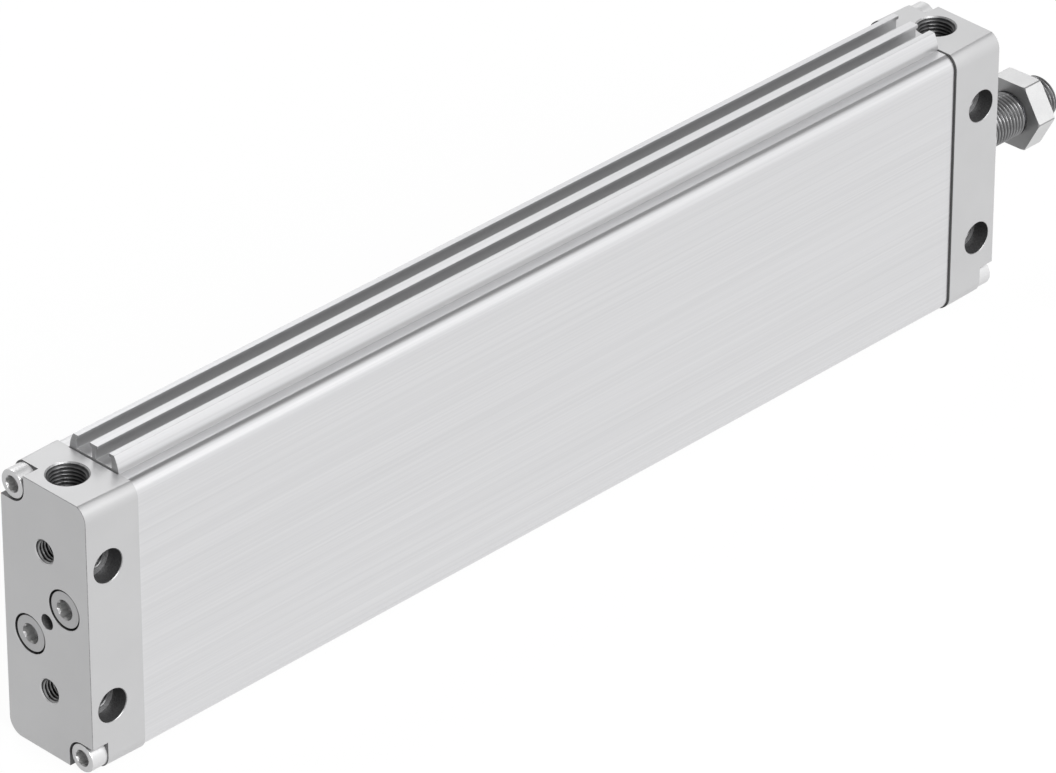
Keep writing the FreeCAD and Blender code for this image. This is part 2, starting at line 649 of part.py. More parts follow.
def make_piston_magnet():
    start, end = band_ends()
    return oval_ring(side_profile([(start, MAGNET_IN_R), (end, MAGNET_IN_R),
                                   (end, MAGNET_OUT_R), (start, MAGNET_OUT_R)]))


def make_piston_guide_band():
    start, end = band_ends()
    inner = MAGNET_OUT_R + SEAT_FIT
    outer = BORE_R - BAND_GAP
    return oval_ring(side_profile([(start, inner), (end, inner), (end, outer), (start, outer)]))


def make_piston_screw():
    return socket_screw(X_SCREW_SEAT, 1, (0, 0), PISTON_HEAD_D, PISTON_HEAD_LENGTH, PISTON_SCREW_D,
                        PISTON_SCREW_LENGTH, PISTON_SOCKET, PISTON_SOCKET_DEPTH)


def make_cushions(x_face, inward):
    """Two elastic pads seated in one face of the piston."""
    return Part.makeCompound([bar(seat, end, CUSHION_D) for seat, end in cushion_places(x_face, inward)])


PARTS = {
    "rear_cap": make_rear_cap(),
    "bearing_cap": make_bearing_cap(),
    "barrel": make_barrel(),
    "front_gasket": make_front_gasket(),
    "rear_corner_screws": make_corner_screws(0, 1, X_REAR_JOINT),
    "front_corner_screws": make_corner_screws(X_FRONT, -1, X_BARREL_END),
    "middle_screws": make_middle_screws(),
    "rear_plug": make_rear_plug(),
    "rear_plug_seal": make_rear_plug_seal(),
    "rod_bush": make_rod_bush(),
    "rod_seal": make_rod_seal(),
    "rod_wiper": make_rod_wiper(),
    "piston_rod": make_piston_rod(),
    "rod_nut": make_rod_nut(),
    "piston_rear_half": make_piston_rear_half(),
    "piston_front_half": make_piston_front_half(),
    "rod_stud_seal": make_rod_stud_seal(),
    "rear_piston_seal": make_piston_seal(X_PISTON, 1),
    "front_piston_seal": make_piston_seal(X_PISTON_FRONT, -1),
    "piston_magnet": make_piston_magnet(),
    "piston_guide_band": make_piston_guide_band(),
    "piston_screw": make_piston_screw(),
    "rear_cushions": make_cushions(X_PISTON, 1),
    "front_cushions": make_cushions(X_PISTON_FRONT, -1),
}

os.makedirs("parts", exist_ok=True)
for name, shape in PARTS.items():
    shape.exportStep(f"parts/{name}.step")
    print(name, "solids", len(shape.Solids), "valid", shape.isValid(), "volume", round(shape.Volume, 1))
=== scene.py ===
import math
import bmesh
import bpy
from mathutils import Matrix, Vector


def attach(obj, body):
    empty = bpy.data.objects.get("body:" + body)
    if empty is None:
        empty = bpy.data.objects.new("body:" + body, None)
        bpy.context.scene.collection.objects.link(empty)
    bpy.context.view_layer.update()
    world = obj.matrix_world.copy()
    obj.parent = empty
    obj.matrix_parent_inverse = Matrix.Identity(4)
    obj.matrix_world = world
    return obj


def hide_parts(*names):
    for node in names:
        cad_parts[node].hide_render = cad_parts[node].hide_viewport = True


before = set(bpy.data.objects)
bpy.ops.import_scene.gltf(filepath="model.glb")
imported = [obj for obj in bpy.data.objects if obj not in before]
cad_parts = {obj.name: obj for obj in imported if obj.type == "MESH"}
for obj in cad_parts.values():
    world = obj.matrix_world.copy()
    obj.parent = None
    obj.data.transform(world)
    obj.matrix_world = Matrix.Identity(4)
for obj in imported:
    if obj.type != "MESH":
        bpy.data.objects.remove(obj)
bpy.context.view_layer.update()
MM = 0.001


# Barrel
# The long body is one drawn aluminium profile with an oval bore and three hooked ribs on top, which
# leave two slots for position sensors. It is sawn to length and anodised, with fine die lines along it.
# Painted shade darkens the insides of the slots and the feet of the outer ribs. Its front end is faced
# back for a gasket, and the ribs run on over that.

BODY_HEIGHT = 98.0 * MM
BODY_THICKNESS = 38.4 * MM
CORNER_RADIUS = 5.5 * MM
BARREL_CUT = 0.16 * MM
CAP_TOP = BODY_HEIGHT / 2
BARREL_INSET = 0.2 * MM
BARREL_START = 21.4 * MM
BARREL_END = 388.0 * MM
RIB_END = 388.6 * MM
BARREL_EDGE = 0.05 * MM
BORE_RADIUS = 13.5 * MM
BORE_STRAIGHT = 51.5 * MM
RIB_HEIGHT = 5.6 * MM
RIB_BASE_HALF = 11.1 * MM
RIB_TOP_HALF = 9.15 * MM
RIB_BULGE = 0.35 * MM
RIB_POST_HALF = 1.75 * MM
SLOT_OPENING = 5.2 * MM
SLOT_WIDTH = 7.0 * MM
SLOT_FLOOR = 0.6 * MM
LIP_THICKNESS = 1.25 * MM
HOOK_ROUND = 0.12 * MM
SHOULDER_ROUND = 0.3 * MM
INNER_ROUND = 0.2 * MM
FOOT_RUN = 1.3 * MM
OVERRUN = 1.0 * MM
FACING_ROOM = 0.01 * MM
MERGE_DISTANCE = 0.002 * MM
SHORTEST_EDGE = 0.001 * MM
ARC_STEPS = 18
ROUND_STEPS = 4
BULGE_STEPS = 6
SMOOTH_ANGLE = 12.0
FLAT_WEIGHT = 100
END_FACING = 0.9
BARREL_TONE = (0.69, 0.69, 0.70, 1.0)
DIE_LINE_TONE = (0.64, 0.64, 0.65, 1.0)
# Tone of the painted shade in the slots and at the feet of the outer ribs.
SLOT_SHADE_TONE = (0.50, 0.50, 0.505, 1.0)
DIE_LINE_SHARE = 0.8
CLOUD_SHARE = 0.3
LINE_SPREAD = (0.45, 0.85)
BARREL_ROUGHNESS = (0.28, 0.32)
SAWN_TONES = ((0.30, 0.30, 0.305, 1.0), (0.40, 0.40, 0.405, 1.0))
TONE_SPREAD = (0.35, 0.65)
GRAIN_SPREAD = (0.3, 0.7)
FLECK_SHARE = 0.6
FLECKS_PER_PATCH = 40
ROUGHNESS_SWING = 0.06
GRAIN_RELIEF = 0.3


def arc(centre_y, centre_z, radius, start, end, steps=ARC_STEPS):
    """Points along an arc in the body's section, from one angle in degrees to another."""
    points = []
    for step in range(steps + 1):
        angle = math.radians(start + (end - start) * step / steps)
        points.append((centre_y + radius * math.cos(angle), centre_z + radius * math.sin(angle)))
    return points


def oval(radius):
    """Oval in the body's section about the bore's two centres."""
    half = BORE_STRAIGHT / 2
    return [*arc(0, half, radius, 0, 180), *arc(0, -half, radius, 180, 360)]


def body_outline(inset, top_z, top_cut, top=()):
    """Outer section of the body, drawn in by inset, with its top face at top_z and the points along it; the
    upper rounds would end higher by top_cut, so they meet the top face in a crease."""
    half_y = BODY_THICKNESS / 2 - inset
    half_z = BODY_HEIGHT / 2 - inset
    radius = CORNER_RADIUS - inset
    side = half_y - radius
    low = radius - half_z
    high = half_z + top_cut - radius
    crease = math.degrees(math.asin((top_z - high) / radius))
    return [*arc(side, low, radius, -90, 0), *arc(side, high, radius, 0, crease), *top,
            *arc(-side, high, radius, 180 - crease, 180), *arc(-side, low, radius, 180, 270)]


def softened(corners, steps=ROUND_STEPS):
    """Chain of points with each middle (y, z, radius) corner rounded over by its radius."""
    points = [corners[0][:2]]
    for before, here, after in zip(corners, corners[1:], corners[2:]):
        corner = Vector(here[:2])
        back = (Vector(before[:2]) - corner).normalized()
        ahead = (Vector(after[:2]) - corner).normalized()
        radius = here[2]
        if radius == 0:
            points.append(tuple(corner))
            continue
        half = math.acos(max(-1.0, min(1.0, back.dot(ahead)))) / 2
        centre = corner + (back + ahead).normalized() * (radius / math.sin(half))
        start = corner + back * (radius / math.tan(half)) - centre
        sweep = start.angle_signed(corner + ahead * (radius / math.tan(half)) - centre)
        for step in range(steps + 1):
            turn = -sweep * step / steps
            spun = Vector((start.x * math.cos(turn) - start.y * math.sin(turn),
                           start.x * math.sin(turn) + start.y * math.cos(turn)))
            points.append(tuple(centre + spun))
    return points + [corners[-1][:2]]


def rib_chain():
    """Top of the barrel's section: a hooked rib on each side and a post in the middle."""
    base = CAP_TOP - BARREL_INSET
    top = CAP_TOP + RIB_HEIGHT
    lip = top - LIP_THICKNESS
    floor = CAP_TOP + SLOT_FLOOR
    hook = RIB_POST_HALF + SLOT_OPENING
    near = RIB_POST_HALF + (SLOT_OPENING - SLOT_WIDTH) / 2
    far = near + SLOT_WIDTH
    run = Vector((RIB_TOP_HALF - RIB_BASE_HALF, top - base))
    out = Vector((run.y, -run.x)).normalized()
    flank = []
    for step in range(1, BULGE_STEPS):
        share = step / BULGE_STEPS
        point = Vector((RIB_BASE_HALF, base)) + run * share + out * (RIB_BULGE * 4 * share * (1 - share))
        flank.append((point.x, point.y, 0))
    half = [(RIB_BASE_HALF + FOOT_RUN, base, 0), (RIB_BASE_HALF, base, INNER_ROUND), *flank,
            (RIB_TOP_HALF, top, SHOULDER_ROUND), (hook, top, HOOK_ROUND), (hook, lip, HOOK_ROUND),
            (far, lip, INNER_ROUND), (far, floor, INNER_ROUND), (near, floor, INNER_ROUND),
            (near, lip, INNER_ROUND), (RIB_POST_HALF, lip, HOOK_ROUND), (RIB_POST_HALF, top, HOOK_ROUND)]
    other = [(-y, z, radius) for y, z, radius in reversed(half)]
    return softened([*half, *other])


def show(name, mesh):
    """Object for a mesh whose place is in its vertices."""
    piece = bpy.data.objects.new(name, mesh)
    bpy.context.scene.collection.objects.link(piece)
    return piece


def settled(piece):
    """Plain mesh of a piece as its modifiers leave it, on the same object."""
    evaluated = piece.evaluated_get(bpy.context.evaluated_depsgraph_get())
    mesh = bpy.data.meshes.new_from_object(evaluated)
    piece.modifiers.clear()
    piece.data = mesh
    return piece


def closed_up(mesh):
    """Merges a mesh's doubled points and turns its faces outwards."""
    work = bmesh.new()
    work.from_mesh(mesh)
    bmesh.ops.remove_doubles(work, verts=work.verts, dist=MERGE_DISTANCE)
    bmesh.ops.dissolve_degenerate(work, edges=work.edges, dist=SHORTEST_EDGE)
    bmesh.ops.recalc_face_normals(work, faces=work.faces)
    work.to_mesh(mesh)
    work.free()
    return mesh


def smoothed(piece, angle=SMOOTH_ANGLE):
    """Smooth shading that stops at edges sharper than an angle and keeps flat faces flat."""
    piece.data.shade_smooth()
    piece.data.set_sharp_from_angle(angle=math.radians(angle))
    weigh = piece.modifiers.new("flat faces", "WEIGHTED_NORMAL")
    weigh.keep_sharp = True
    weigh.weight = FLAT_WEIGHT
    return settled(piece)


def extruded(name, outlines, x_start, x_end, edge):
    """Bar of one section between two stations on the rod, with its end edges broken."""
    curve = bpy.data.curves.new(name, "CURVE")
    curve.dimensions = "2D"
    curve.fill_mode = "BOTH"
    curve.extrude = (x_end - x_start) / 2 - edge
    curve.bevel_depth = edge
    curve.bevel_resolution = 0
    curve.offset = -edge
    for outline in outlines:
        spline = curve.splines.new("POLY")
        spline.points.add(len(outline) - 1)
        for point, (y, z) in zip(spline.points, outline):
            point.co = (y, z, 0.0, 1.0)
        spline.use_cyclic_u = True
    drawn = bpy.data.objects.new(name, curve)
    bpy.context.scene.collection.objects.link(drawn)
    mesh = bpy.data.meshes.new_from_object(drawn.evaluated_get(bpy.context.evaluated_depsgraph_get()))
    bpy.data.objects.remove(drawn)
    across = Matrix(((0, 0, 1, (x_start + x_end) / 2), (1, 0, 0, 0), (0, 1, 0, 0), (0, 0, 0, 1)))
    mesh.transform(across)
    return show(name, closed_up(mesh))


def bridged(work, loops, hollow=False, linings=()):
    """Adds a closed shape with a skin from loop to loop of points; linings has pairs of a step and the number
    of the piece's finish that the skin takes from there on."""
    rings = [[work.verts.new(point) for point in loop] for loop in loops]
    following = rings[1:] + rings[:1] if hollow else rings[1:]
    skin = []
    for here, there in zip(rings, following):
        for step in range(len(here)):
            after = (step + 1) % len(here)
            skin.append(work.faces.new((here[step], here[after], there[after], there[step])))
    if not hollow:
        skin.append(work.faces.new(rings[-1]))
        work.faces.new(reversed(rings[0]))
    for first, number in linings:
        for face in skin[first * len(rings[0]):]:
            face.material_index = number


def formed(name, work):
    """Object made from a work mesh."""
    mesh = bpy.data.meshes.new(name)
    work.to_mesh(mesh)
    work.free()
    return show(name, closed_up(mesh))


def cut(piece, work):
    """Takes the shapes in a work mesh out of a piece."""
    cutter = formed("cutter", work)
    removal = piece.modifiers.new("cut", "BOOLEAN")
    removal.operation = "DIFFERENCE"
    removal.solver = "EXACT"
    removal.object = cutter
    settled(piece)
    bpy.data.objects.remove(cutter)
    return piece


class Flow:
    """One socket of a node tree: arithmetic on it adds Math nodes, and node() adds any other kind."""

    def __init__(self, tree, socket=None):
        self.tree = tree
        self.socket = socket

    def node(self, kind, sockets=(), output=0, **settings):
        made = self.tree.nodes.new(kind)
        for name, value in settings.items():
            setattr(made, name, value)
        for name, value in dict(sockets).items():
            if isinstance(value, Flow):
                self.tree.links.new(value.socket, made.inputs[name])
            else:
                made.inputs[name].default_value = value
        return Flow(self.tree, made.outputs[output])

    def maths(self, operation, *values):
        return self.node("ShaderNodeMath", dict(enumerate(values)), operation=operation)

    def __add__(self, other):
        return self.maths("ADD", self, other)

    def __mul__(self, other):
        return self.maths("MULTIPLY", self, other)

    def __sub__(self, other):
        return self.maths("SUBTRACT", self, other)

    def __rsub__(self, other):
        return self.maths("SUBTRACT", other, self)

    def __truediv__(self, other):
        return self.maths("DIVIDE", self, other)

    __radd__ = __add__
    __rmul__ = __mul__

    def span(self, low, high, to_low=0.0, to_high=1.0):
        """This value carried from one range to another, and held at its ends."""
        return self.node("ShaderNodeMapRange", {0: self, 1: low, 2: high, 3: to_low, 4: to_high})

    def noise(self, scale, stretch=(1.0, 1.0, 1.0), detail=3.0):
        """Noise over the piece, with a feature size of one metre over scale times stretch."""
        place = self.node("ShaderNodeTexCoord", output="Object")
        spread = self.node("ShaderNodeVectorMath", {0: place, 1: stretch}, operation="MULTIPLY")
        return self.node("ShaderNodeTexNoise", {"Vector": spread, "Scale": scale, "Detail": detail},
                         output="Fac")

    def tint(self, share, low, high):
        """Colour between two tones by a share."""
        return self.node("ShaderNodeMix", {0: share, 6: low, 7: high}, output=2, data_type="RGBA")


def finish(name, **plain):
    """New material with its even values in plain; returns it, a start for its maths, and its shader."""
    material = bpy.data.materials.new(name)
    material.use_nodes = True
    shader = material.node_tree.nodes["Principled BSDF"]
    for socket, value in plain.items():
        shader.inputs[socket.replace("_", " ")].default_value = value
    return material, Flow(material.node_tree), shader


def feed(flow, shader, socket):
    """Runs a value or colour into a socket of the shader."""
    flow.tree.links.new(flow.socket, shader.inputs[socket])


def relief(height, shader, strength, depth):
    """Small relief on the surface from a height between 0 and 1."""
    bump = height.node("ShaderNodeBump", {"Height": height, "Strength": strength, "Distance": depth})
    feed(bump, shader, "Normal")


barrel_finish, flow, shader = finish("barrel_anodised", Metallic=0.92, IOR=1.45)
die_lines = flow.noise(scale=1.0, stretch=(6.0, 1500.0, 1500.0), detail=4.0)
fine_lines = flow.noise(scale=1.0, stretch=(25.0, 5200.0, 5200.0), detail=2.0)
clouds = flow.noise(scale=14.0, stretch=(0.6, 1.0, 1.0))
lines = DIE_LINE_SHARE * die_lines + (1 - DIE_LINE_SHARE) * fine_lines
drawn_tone = flow.tint(lines.span(*TONE_SPREAD), DIE_LINE_TONE, BARREL_TONE)
on_barrel = flow.node("ShaderNodeTexCoord", output="Object")
level = flow.node("ShaderNodeSeparateXYZ", {0: on_barrel}, output="Z")
off_middle = flow.maths("ABSOLUTE", flow.node("ShaderNodeSeparateXYZ", {0: on_barrel}, output="Y"))
# Painted shade: the insides of the slots and the feet of the outer ribs take a darker tone.
slot_end = RIB_POST_HALF + (SLOT_OPENING + SLOT_WIDTH) / 2
rib_top = CAP_TOP + RIB_HEIGHT
over_floor = level.span(CAP_TOP, CAP_TOP + INNER_ROUND)
below_lip = level.span(rib_top - LIP_THICKNESS, rib_top - HOOK_ROUND, 1.0, 0.0)
slot_shade = off_middle.span(slot_end, slot_end + INNER_ROUND, 1.0, 0.0) * over_floor * below_lip
off_foot = flow.maths("ABSOLUTE", off_middle - RIB_BASE_HALF)
foot_shade = off_foot.span(INNER_ROUND, 2 * INNER_ROUND, 1.0, 0.0) * level.span(0.0, CAP_TOP)
painted_shade = flow.maths("MAXIMUM", slot_shade, foot_shade)
feed(flow.tint(painted_shade, drawn_tone, SLOT_SHADE_TONE), shader, "Base Color")
feed((lines + CLOUD_SHARE * clouds).span(*LINE_SPREAD, *BARREL_ROUGHNESS), shader, "Roughness")
relief(die_lines, shader, strength=0.05, depth=0.02 * MM)


def grained(name, tones, metallic, roughness, grain, depth, stretch=(1.0, 1.0, 1.0)):
    """Finish with a fine grain: two tones, a spread of roughness and a shallow relief."""
    material, flow, shader = finish(name, Metallic=metallic)
    fleck = flow.noise(grain, stretch)
    patch = flow.noise(grain / FLECKS_PER_PATCH)
    share = (FLECK_SHARE * fleck + (1 - FLECK_SHARE) * patch).span(*TONE_SPREAD)
    feed(flow.tint(share, *tones), shader, "Base Color")
    swing = (roughness - ROUGHNESS_SWING, roughness + ROUGHNESS_SWING)
    feed(fleck.span(*GRAIN_SPREAD, *swing), shader, "Roughness")
    relief(fleck, shader, GRAIN_RELIEF, depth)
    return material


sawn_finish = grained("barrel_sawn", SAWN_TONES, metallic=0.5, roughness=0.42, grain=1.0, depth=0.01 * MM,
                      stretch=(1.0, 150.0, 3000.0))

section = body_outline(BARREL_INSET, CAP_TOP - BARREL_INSET, BARREL_CUT, rib_chain())
barrel = extruded("drawn_barrel", [section, oval(BORE_RADIUS)], BARREL_START, RIB_END, BARREL_EDGE)
barrel.data.materials.append(barrel_finish)
barrel.data.materials.append(sawn_finish)
front_cut = bmesh.new()
under_ribs = CAP_TOP + FACING_ROOM
faced = [(-BODY_HEIGHT, -BODY_HEIGHT), (BODY_HEIGHT, -BODY_HEIGHT), (BODY_HEIGHT, under_ribs),
         (-BODY_HEIGHT, under_ribs)]
bridged(front_cut, [[(x, y, z) for y, z in faced] for x in (BARREL_END, RIB_END + OVERRUN)])
cut(barrel, front_cut)
for face in barrel.data.polygons:
    face.material_index = int(abs(face.normal.x) > END_FACING)
smoothed(barrel)
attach(barrel, "housing")
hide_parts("barrel")


# Works inside the barrel
# An oval plug closes the rear end, and an oval piston in two halves carries lip seals, a guide band, a
# magnet for the sensors and two pads at each end. All of them are closed in and keep their turned forms.

SEAL_TONES = ((0.020, 0.020, 0.021, 1.0), (0.036, 0.036, 0.036, 1.0))
PAD_TONES = ((0.10, 0.085, 0.05, 1.0), (0.14, 0.115, 0.07, 1.0))
MAGNET_TONES = ((0.06, 0.06, 0.065, 1.0), (0.09, 0.09, 0.095, 1.0))
BAND_TONES = ((0.66, 0.62, 0.52, 1.0), (0.74, 0.70, 0.61, 1.0))
BRONZE_TONES = ((0.46, 0.31, 0.15, 1.0), (0.58, 0.42, 0.23, 1.0))
TURNED_TONES = ((0.60, 0.60, 0.61, 1.0), (0.74, 0.74, 0.75, 1.0))

seal_finish = grained("seal_rubber", SEAL_TONES, metallic=0.0, roughness=0.62, grain=2500.0, depth=0.02 * MM)
pad_finish = grained("pad_rubber", PAD_TONES, metallic=0.0, roughness=0.7, grain=2500.0, depth=0.02 * MM)
magnet_finish = grained("magnet_plastic", MAGNET_TONES, metallic=0.0, roughness=0.55, grain=1800.0,
                        depth=0.01 * MM)
band_finish = grained("band_plastic", BAND_TONES, metallic=0.0, roughness=0.5, grain=1500.0, depth=0.01 * MM)
bronze_finish = grained("bush_bronze", BRONZE_TONES, metallic=1.0, roughness=0.34, grain=1.0, depth=0.01 * MM,
                        stretch=(4000.0, 60.0, 60.0))
turned_finish = grained("turned_aluminium", TURNED_TONES, metallic=0.9, roughness=0.36, grain=1.0,
                        depth=0.01 * MM, stretch=(3500.0, 80.0, 80.0))


def dress(material, *nodes):
    """Gives a finish to pieces that keep the form of their solids."""
    for node in nodes:
        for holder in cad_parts[node].material_slots:
            holder.material = material


dress(turned_finish, "rear_plug", "piston_rear_half", "piston_front_half")
dress(seal_finish, "rear_plug_seal", "rear_piston_seal", "front_piston_seal", "rod_stud_seal", "rod_seal",
      "rod_wiper")
dress(magnet_finish, "piston_magnet")
dress(band_finish, "piston_guide_band")
dress(bronze_finish, "rod_bush")
dress(pad_finish, "rear_cushions", "front_cushions")


# Front gasket
# A thin sheet of black rubber between the barrel's faced end and the bearing cap. The corner screws press
# it flat. It follows the cap, which is wider than the barrel there, so its rim shows as a black line.

GASKET_END = RIB_END
GASKET_INSET = 0.05 * MM
GASKET_BORE_RADIUS = 14.0 * MM
CAP_FLARE = 0.3 * MM
CAP_CUT = 0.3 * MM

rim = body_outline(GASKET_INSET - CAP_FLARE, CAP_TOP - GASKET_INSET, CAP_CUT)
gasket = extruded("gasket_sheet", [rim, oval(GASKET_BORE_RADIUS)], BARREL_END, GASKET_END, edge=0.0)
gasket.data.materials.append(seal_finish)
smoothed(gasket)
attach(gasket, "housing")
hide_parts("front_gasket")


# End caps
# Two aluminium castings close the barrel. Their draft widens them to the joint, and their tops are machined
# flat. Each has threaded holes in its end and on both wide faces, an air port on top, and open pockets at
# two corners for the screws that hold it. They are blasted and anodised, so duller than the barrel. Their
# holes, pockets, broken edges and a groove at the joint under the ribs are darkened with painted shade.

CAP_LENGTH = 21.4 * MM
CAP_EDGE = 0.16 * MM
JOINT_EDGE = 0.05 * MM
# Size of the narrow groove at the joint under the ribs, which is lined with painted shade.
SHADE_GROOVE_WIDTH = 0.45 * MM
SHADE_GROOVE_DEPTH = 1.0 * MM
BODY_END = 410.0 * MM
PORT_PLACE = 10.5 * MM
PORT_RADIUS = 6.58 * MM
PORT_DEPTH = 12.0 * MM
PORT_MOUTH = 0.45 * MM
PORT_DRILL_RADIUS = 3.5 * MM
PORT_DRILL_DEPTH = 18.0 * MM
SIDE_PLACE = 8.5 * MM
HOLE_SPACING = 51.0 * MM
HOLE_RADIUS = 4.0 * MM
HOLE_MOUTH = 0.35 * MM
HOLE_DEPTH = 16.0 * MM
STEP_RADIUS = 5.8 * MM
STEP_DEPTH = 6.0 * MM
SIDE_DEPTH = 14.0 * MM
FINE_EDGE = 0.15 * MM
DRILL_POINT = 0.3
THREAD_ROOM = 0.06 * MM
SLEEVE_WALL = 0.12 * MM
CORNER_INSET = 5.3 * MM
POCKET_RADIUS = 5.5 * MM
POCKET_DEPTH = 6.2 * MM
MIDDLE_OFFSET = 8.1 * MM
MIDDLE_RADIUS = 6.9 * MM
MIDDLE_DEPTH = 8.2 * MM
CENTRE_RADIUS = 2.65 * MM
CENTRE_DEPTH = 10.0 * MM
GLAND_RADIUS = 15.0 * MM
GLAND_DEPTH = 10.0 * MM
BUSH_RADIUS = 12.1 * MM
TURNED_SEGMENTS = 64
WIDE_SEGMENTS = 96
EDGE_SHADE_FACING = (0.3, 0.95)
BORE_SHADE_LINING = 1
POCKET_SHADE_LINING = 2
GRIT_SHARE = 0.4
CAP_ROUGHNESS = (0.28, 0.31)
CAP_TONE = (0.54, 0.54, 0.545, 1.0)
CAP_DULL_TONE = (0.51, 0.51, 0.515, 1.0)
# Painted shade in holes, chamfers and the groove at the joint, and on the caps' broken edges.
BORE_SHADE_TONES = ((0.18, 0.18, 0.182, 1.0), (0.34, 0.34, 0.345, 1.0))
# Painted shade on the walls of the corner pockets, the counterbores and the screw seats.
POCKET_SHADE_TONES = ((0.06, 0.06, 0.061, 1.0), (0.13, 0.13, 0.132, 1.0))


def cap_block(name, x_face, inward):
    """Plain cap: a flared block with a flat top, and with broken edges at its two ends that carry painted
    shade.
    """
    loops = []
    for depth, inset, top_z in ((0.0, CAP_EDGE, CAP_TOP - CAP_EDGE), (CAP_EDGE, 0.0, CAP_TOP),
                                (CAP_LENGTH - JOINT_EDGE, -CAP_FLARE, CAP_TOP),
                                (CAP_LENGTH, JOINT_EDGE - CAP_FLARE, CAP_TOP - JOINT_EDGE)):
        loops.append([(x_face + inward * depth, y, z) for y, z in body_outline(inset, top_z, CAP_CUT)])
    work = bmesh.new()
    bridged(work, loops)
    block = formed(name, work)
    for material in (cap_finish, bore_shade_finish, pocket_shade_finish):
        block.data.materials.append(material)
    least, most = EDGE_SHADE_FACING
    for face in block.data.polygons:
        if least < abs(face.normal.x) < most:
            face.material_index = BORE_SHADE_LINING
    return block


def into(point, direction):
    """Placement whose x axis runs from a point in a direction."""
    turn = Vector((1.0, 0.0, 0.0)).rotation_difference(Vector(direction))
    return Matrix.Translation(point) @ turn.to_matrix().to_4x4()


def turned(work, profile, place, segments=TURNED_SEGMENTS, start=0.0, **skin):
    """Adds a closed turned shape from (distance, radius) pairs; either may depend on the angle round it."""
    loops = []
    for along, radius in profile:
        loop = []
        for step in range(segments):
            angle = start + math.tau * step / segments
            x = along(angle) if callable(along) else along
            reach = radius(angle) if callable(radius) else radius
            loop.append(place @ Vector((x, reach * math.cos(angle), reach * math.sin(angle))))
        loops.append(loop)
    bridged(work, loops, **skin)


def bored(radius, depth, mouth):
    """Profile of a drilled hole with a chamfered mouth and a drill's point."""
    return [(-OVERRUN, radius + mouth + OVERRUN), (mouth, radius), (depth, radius),
            (depth + DRILL_POINT * radius, DRILL_POINT * radius)]


def pocket(work, x_face, inward, sign):
    """Adds the open pocket at a top (+1) or bottom (-1) corner, rounded about its screw."""
    y = BODY_THICKNESS / 2 - CORNER_INSET
    z = BODY_HEIGHT / 2 - CORNER_INSET
    past = POCKET_RADIUS + CORNER_INSET
    outline = [*arc(y, z, POCKET_RADIUS, 180, 270), (y + past, z - POCKET_RADIUS), (y + past, z + past),
               (y - POCKET_RADIUS, z + past)]
    ends = (x_face - inward * OVERRUN, x_face + inward * POCKET_DEPTH)
    loops = [[(x, sign * y, sign * z) for y, z in outline] for x in ends]
    bridged(work, loops, linings=((0, POCKET_SHADE_LINING),))


def cap_cuts(work, x_face, inward):
    """Adds the pockets and holes that both caps have, measured inward from the outer face."""
    for sign in (1, -1):
        pocket(work, x_face, inward, sign)
    rise = CAP_FLARE * SIDE_PLACE / CAP_LENGTH
    stepped = [(-OVERRUN, STEP_RADIUS + FINE_EDGE + OVERRUN), (FINE_EDGE, STEP_RADIUS),
               (STEP_DEPTH + rise, STEP_RADIUS), (STEP_DEPTH + rise, HOLE_RADIUS + THREAD_ROOM),
               (SIDE_DEPTH + rise, HOLE_RADIUS + THREAD_ROOM)]
    step_linings = ((0, BORE_SHADE_LINING), (1, POCKET_SHADE_LINING), (2, BORE_SHADE_LINING))
    for z in (-HOLE_SPACING / 2, HOLE_SPACING / 2):
        end_hole = bored(HOLE_RADIUS + THREAD_ROOM, HOLE_DEPTH, HOLE_MOUTH)
        turned(work, end_hole, into((x_face, 0, z), (inward, 0, 0)), linings=((1, BORE_SHADE_LINING),))
        for side in (-1, 1):
            mouth = (x_face + inward * SIDE_PLACE, side * (BODY_THICKNESS / 2 + rise), z)
            turned(work, stepped, into(mouth, (0, -side, 0)), linings=step_linings)
    port = [*bored(PORT_RADIUS + THREAD_ROOM, PORT_DEPTH, PORT_MOUTH)[:3], (PORT_DEPTH, PORT_DRILL_RADIUS),
            (PORT_DRILL_DEPTH, PORT_DRILL_RADIUS)]
    mouth = (x_face + inward * PORT_PLACE, 0, BODY_HEIGHT / 2)
    turned(work, port, into(mouth, (0, 0, -1)), WIDE_SEGMENTS, linings=((0, BORE_SHADE_LINING),))


cap_finish, flow, shader = finish("cap_anodised", Metallic=0.65, IOR=1.45)
grit = flow.noise(scale=6000.0, detail=2.0)
blasted = GRIT_SHARE * grit + (1 - GRIT_SHARE) * flow.noise(scale=60.0)
feed(flow.tint(blasted.span(*GRAIN_SPREAD), CAP_DULL_TONE, CAP_TONE), shader, "Base Color")
feed(blasted.span(*GRAIN_SPREAD, *CAP_ROUGHNESS), shader, "Roughness")
relief(grit, shader, strength=0.2, depth=0.003 * MM)
# Painted shade: a dark finish for holes, chamfers and broken edges, and a darker one for pockets and seats.
bore_shade_finish = grained("bore_shade_aluminium", BORE_SHADE_TONES, metallic=0.6, roughness=0.38, grain=1800.0,
                       depth=0.01 * MM)
pocket_shade_finish = grained("pocket_shade_aluminium", POCKET_SHADE_TONES, metallic=0.6, roughness=0.42, grain=1800.0,
                        depth=0.01 * MM)

rear_cap = cap_block("rear_cap_block", 0.0, 1)
cuts = bmesh.new()
cap_cuts(cuts, 0.0, 1)
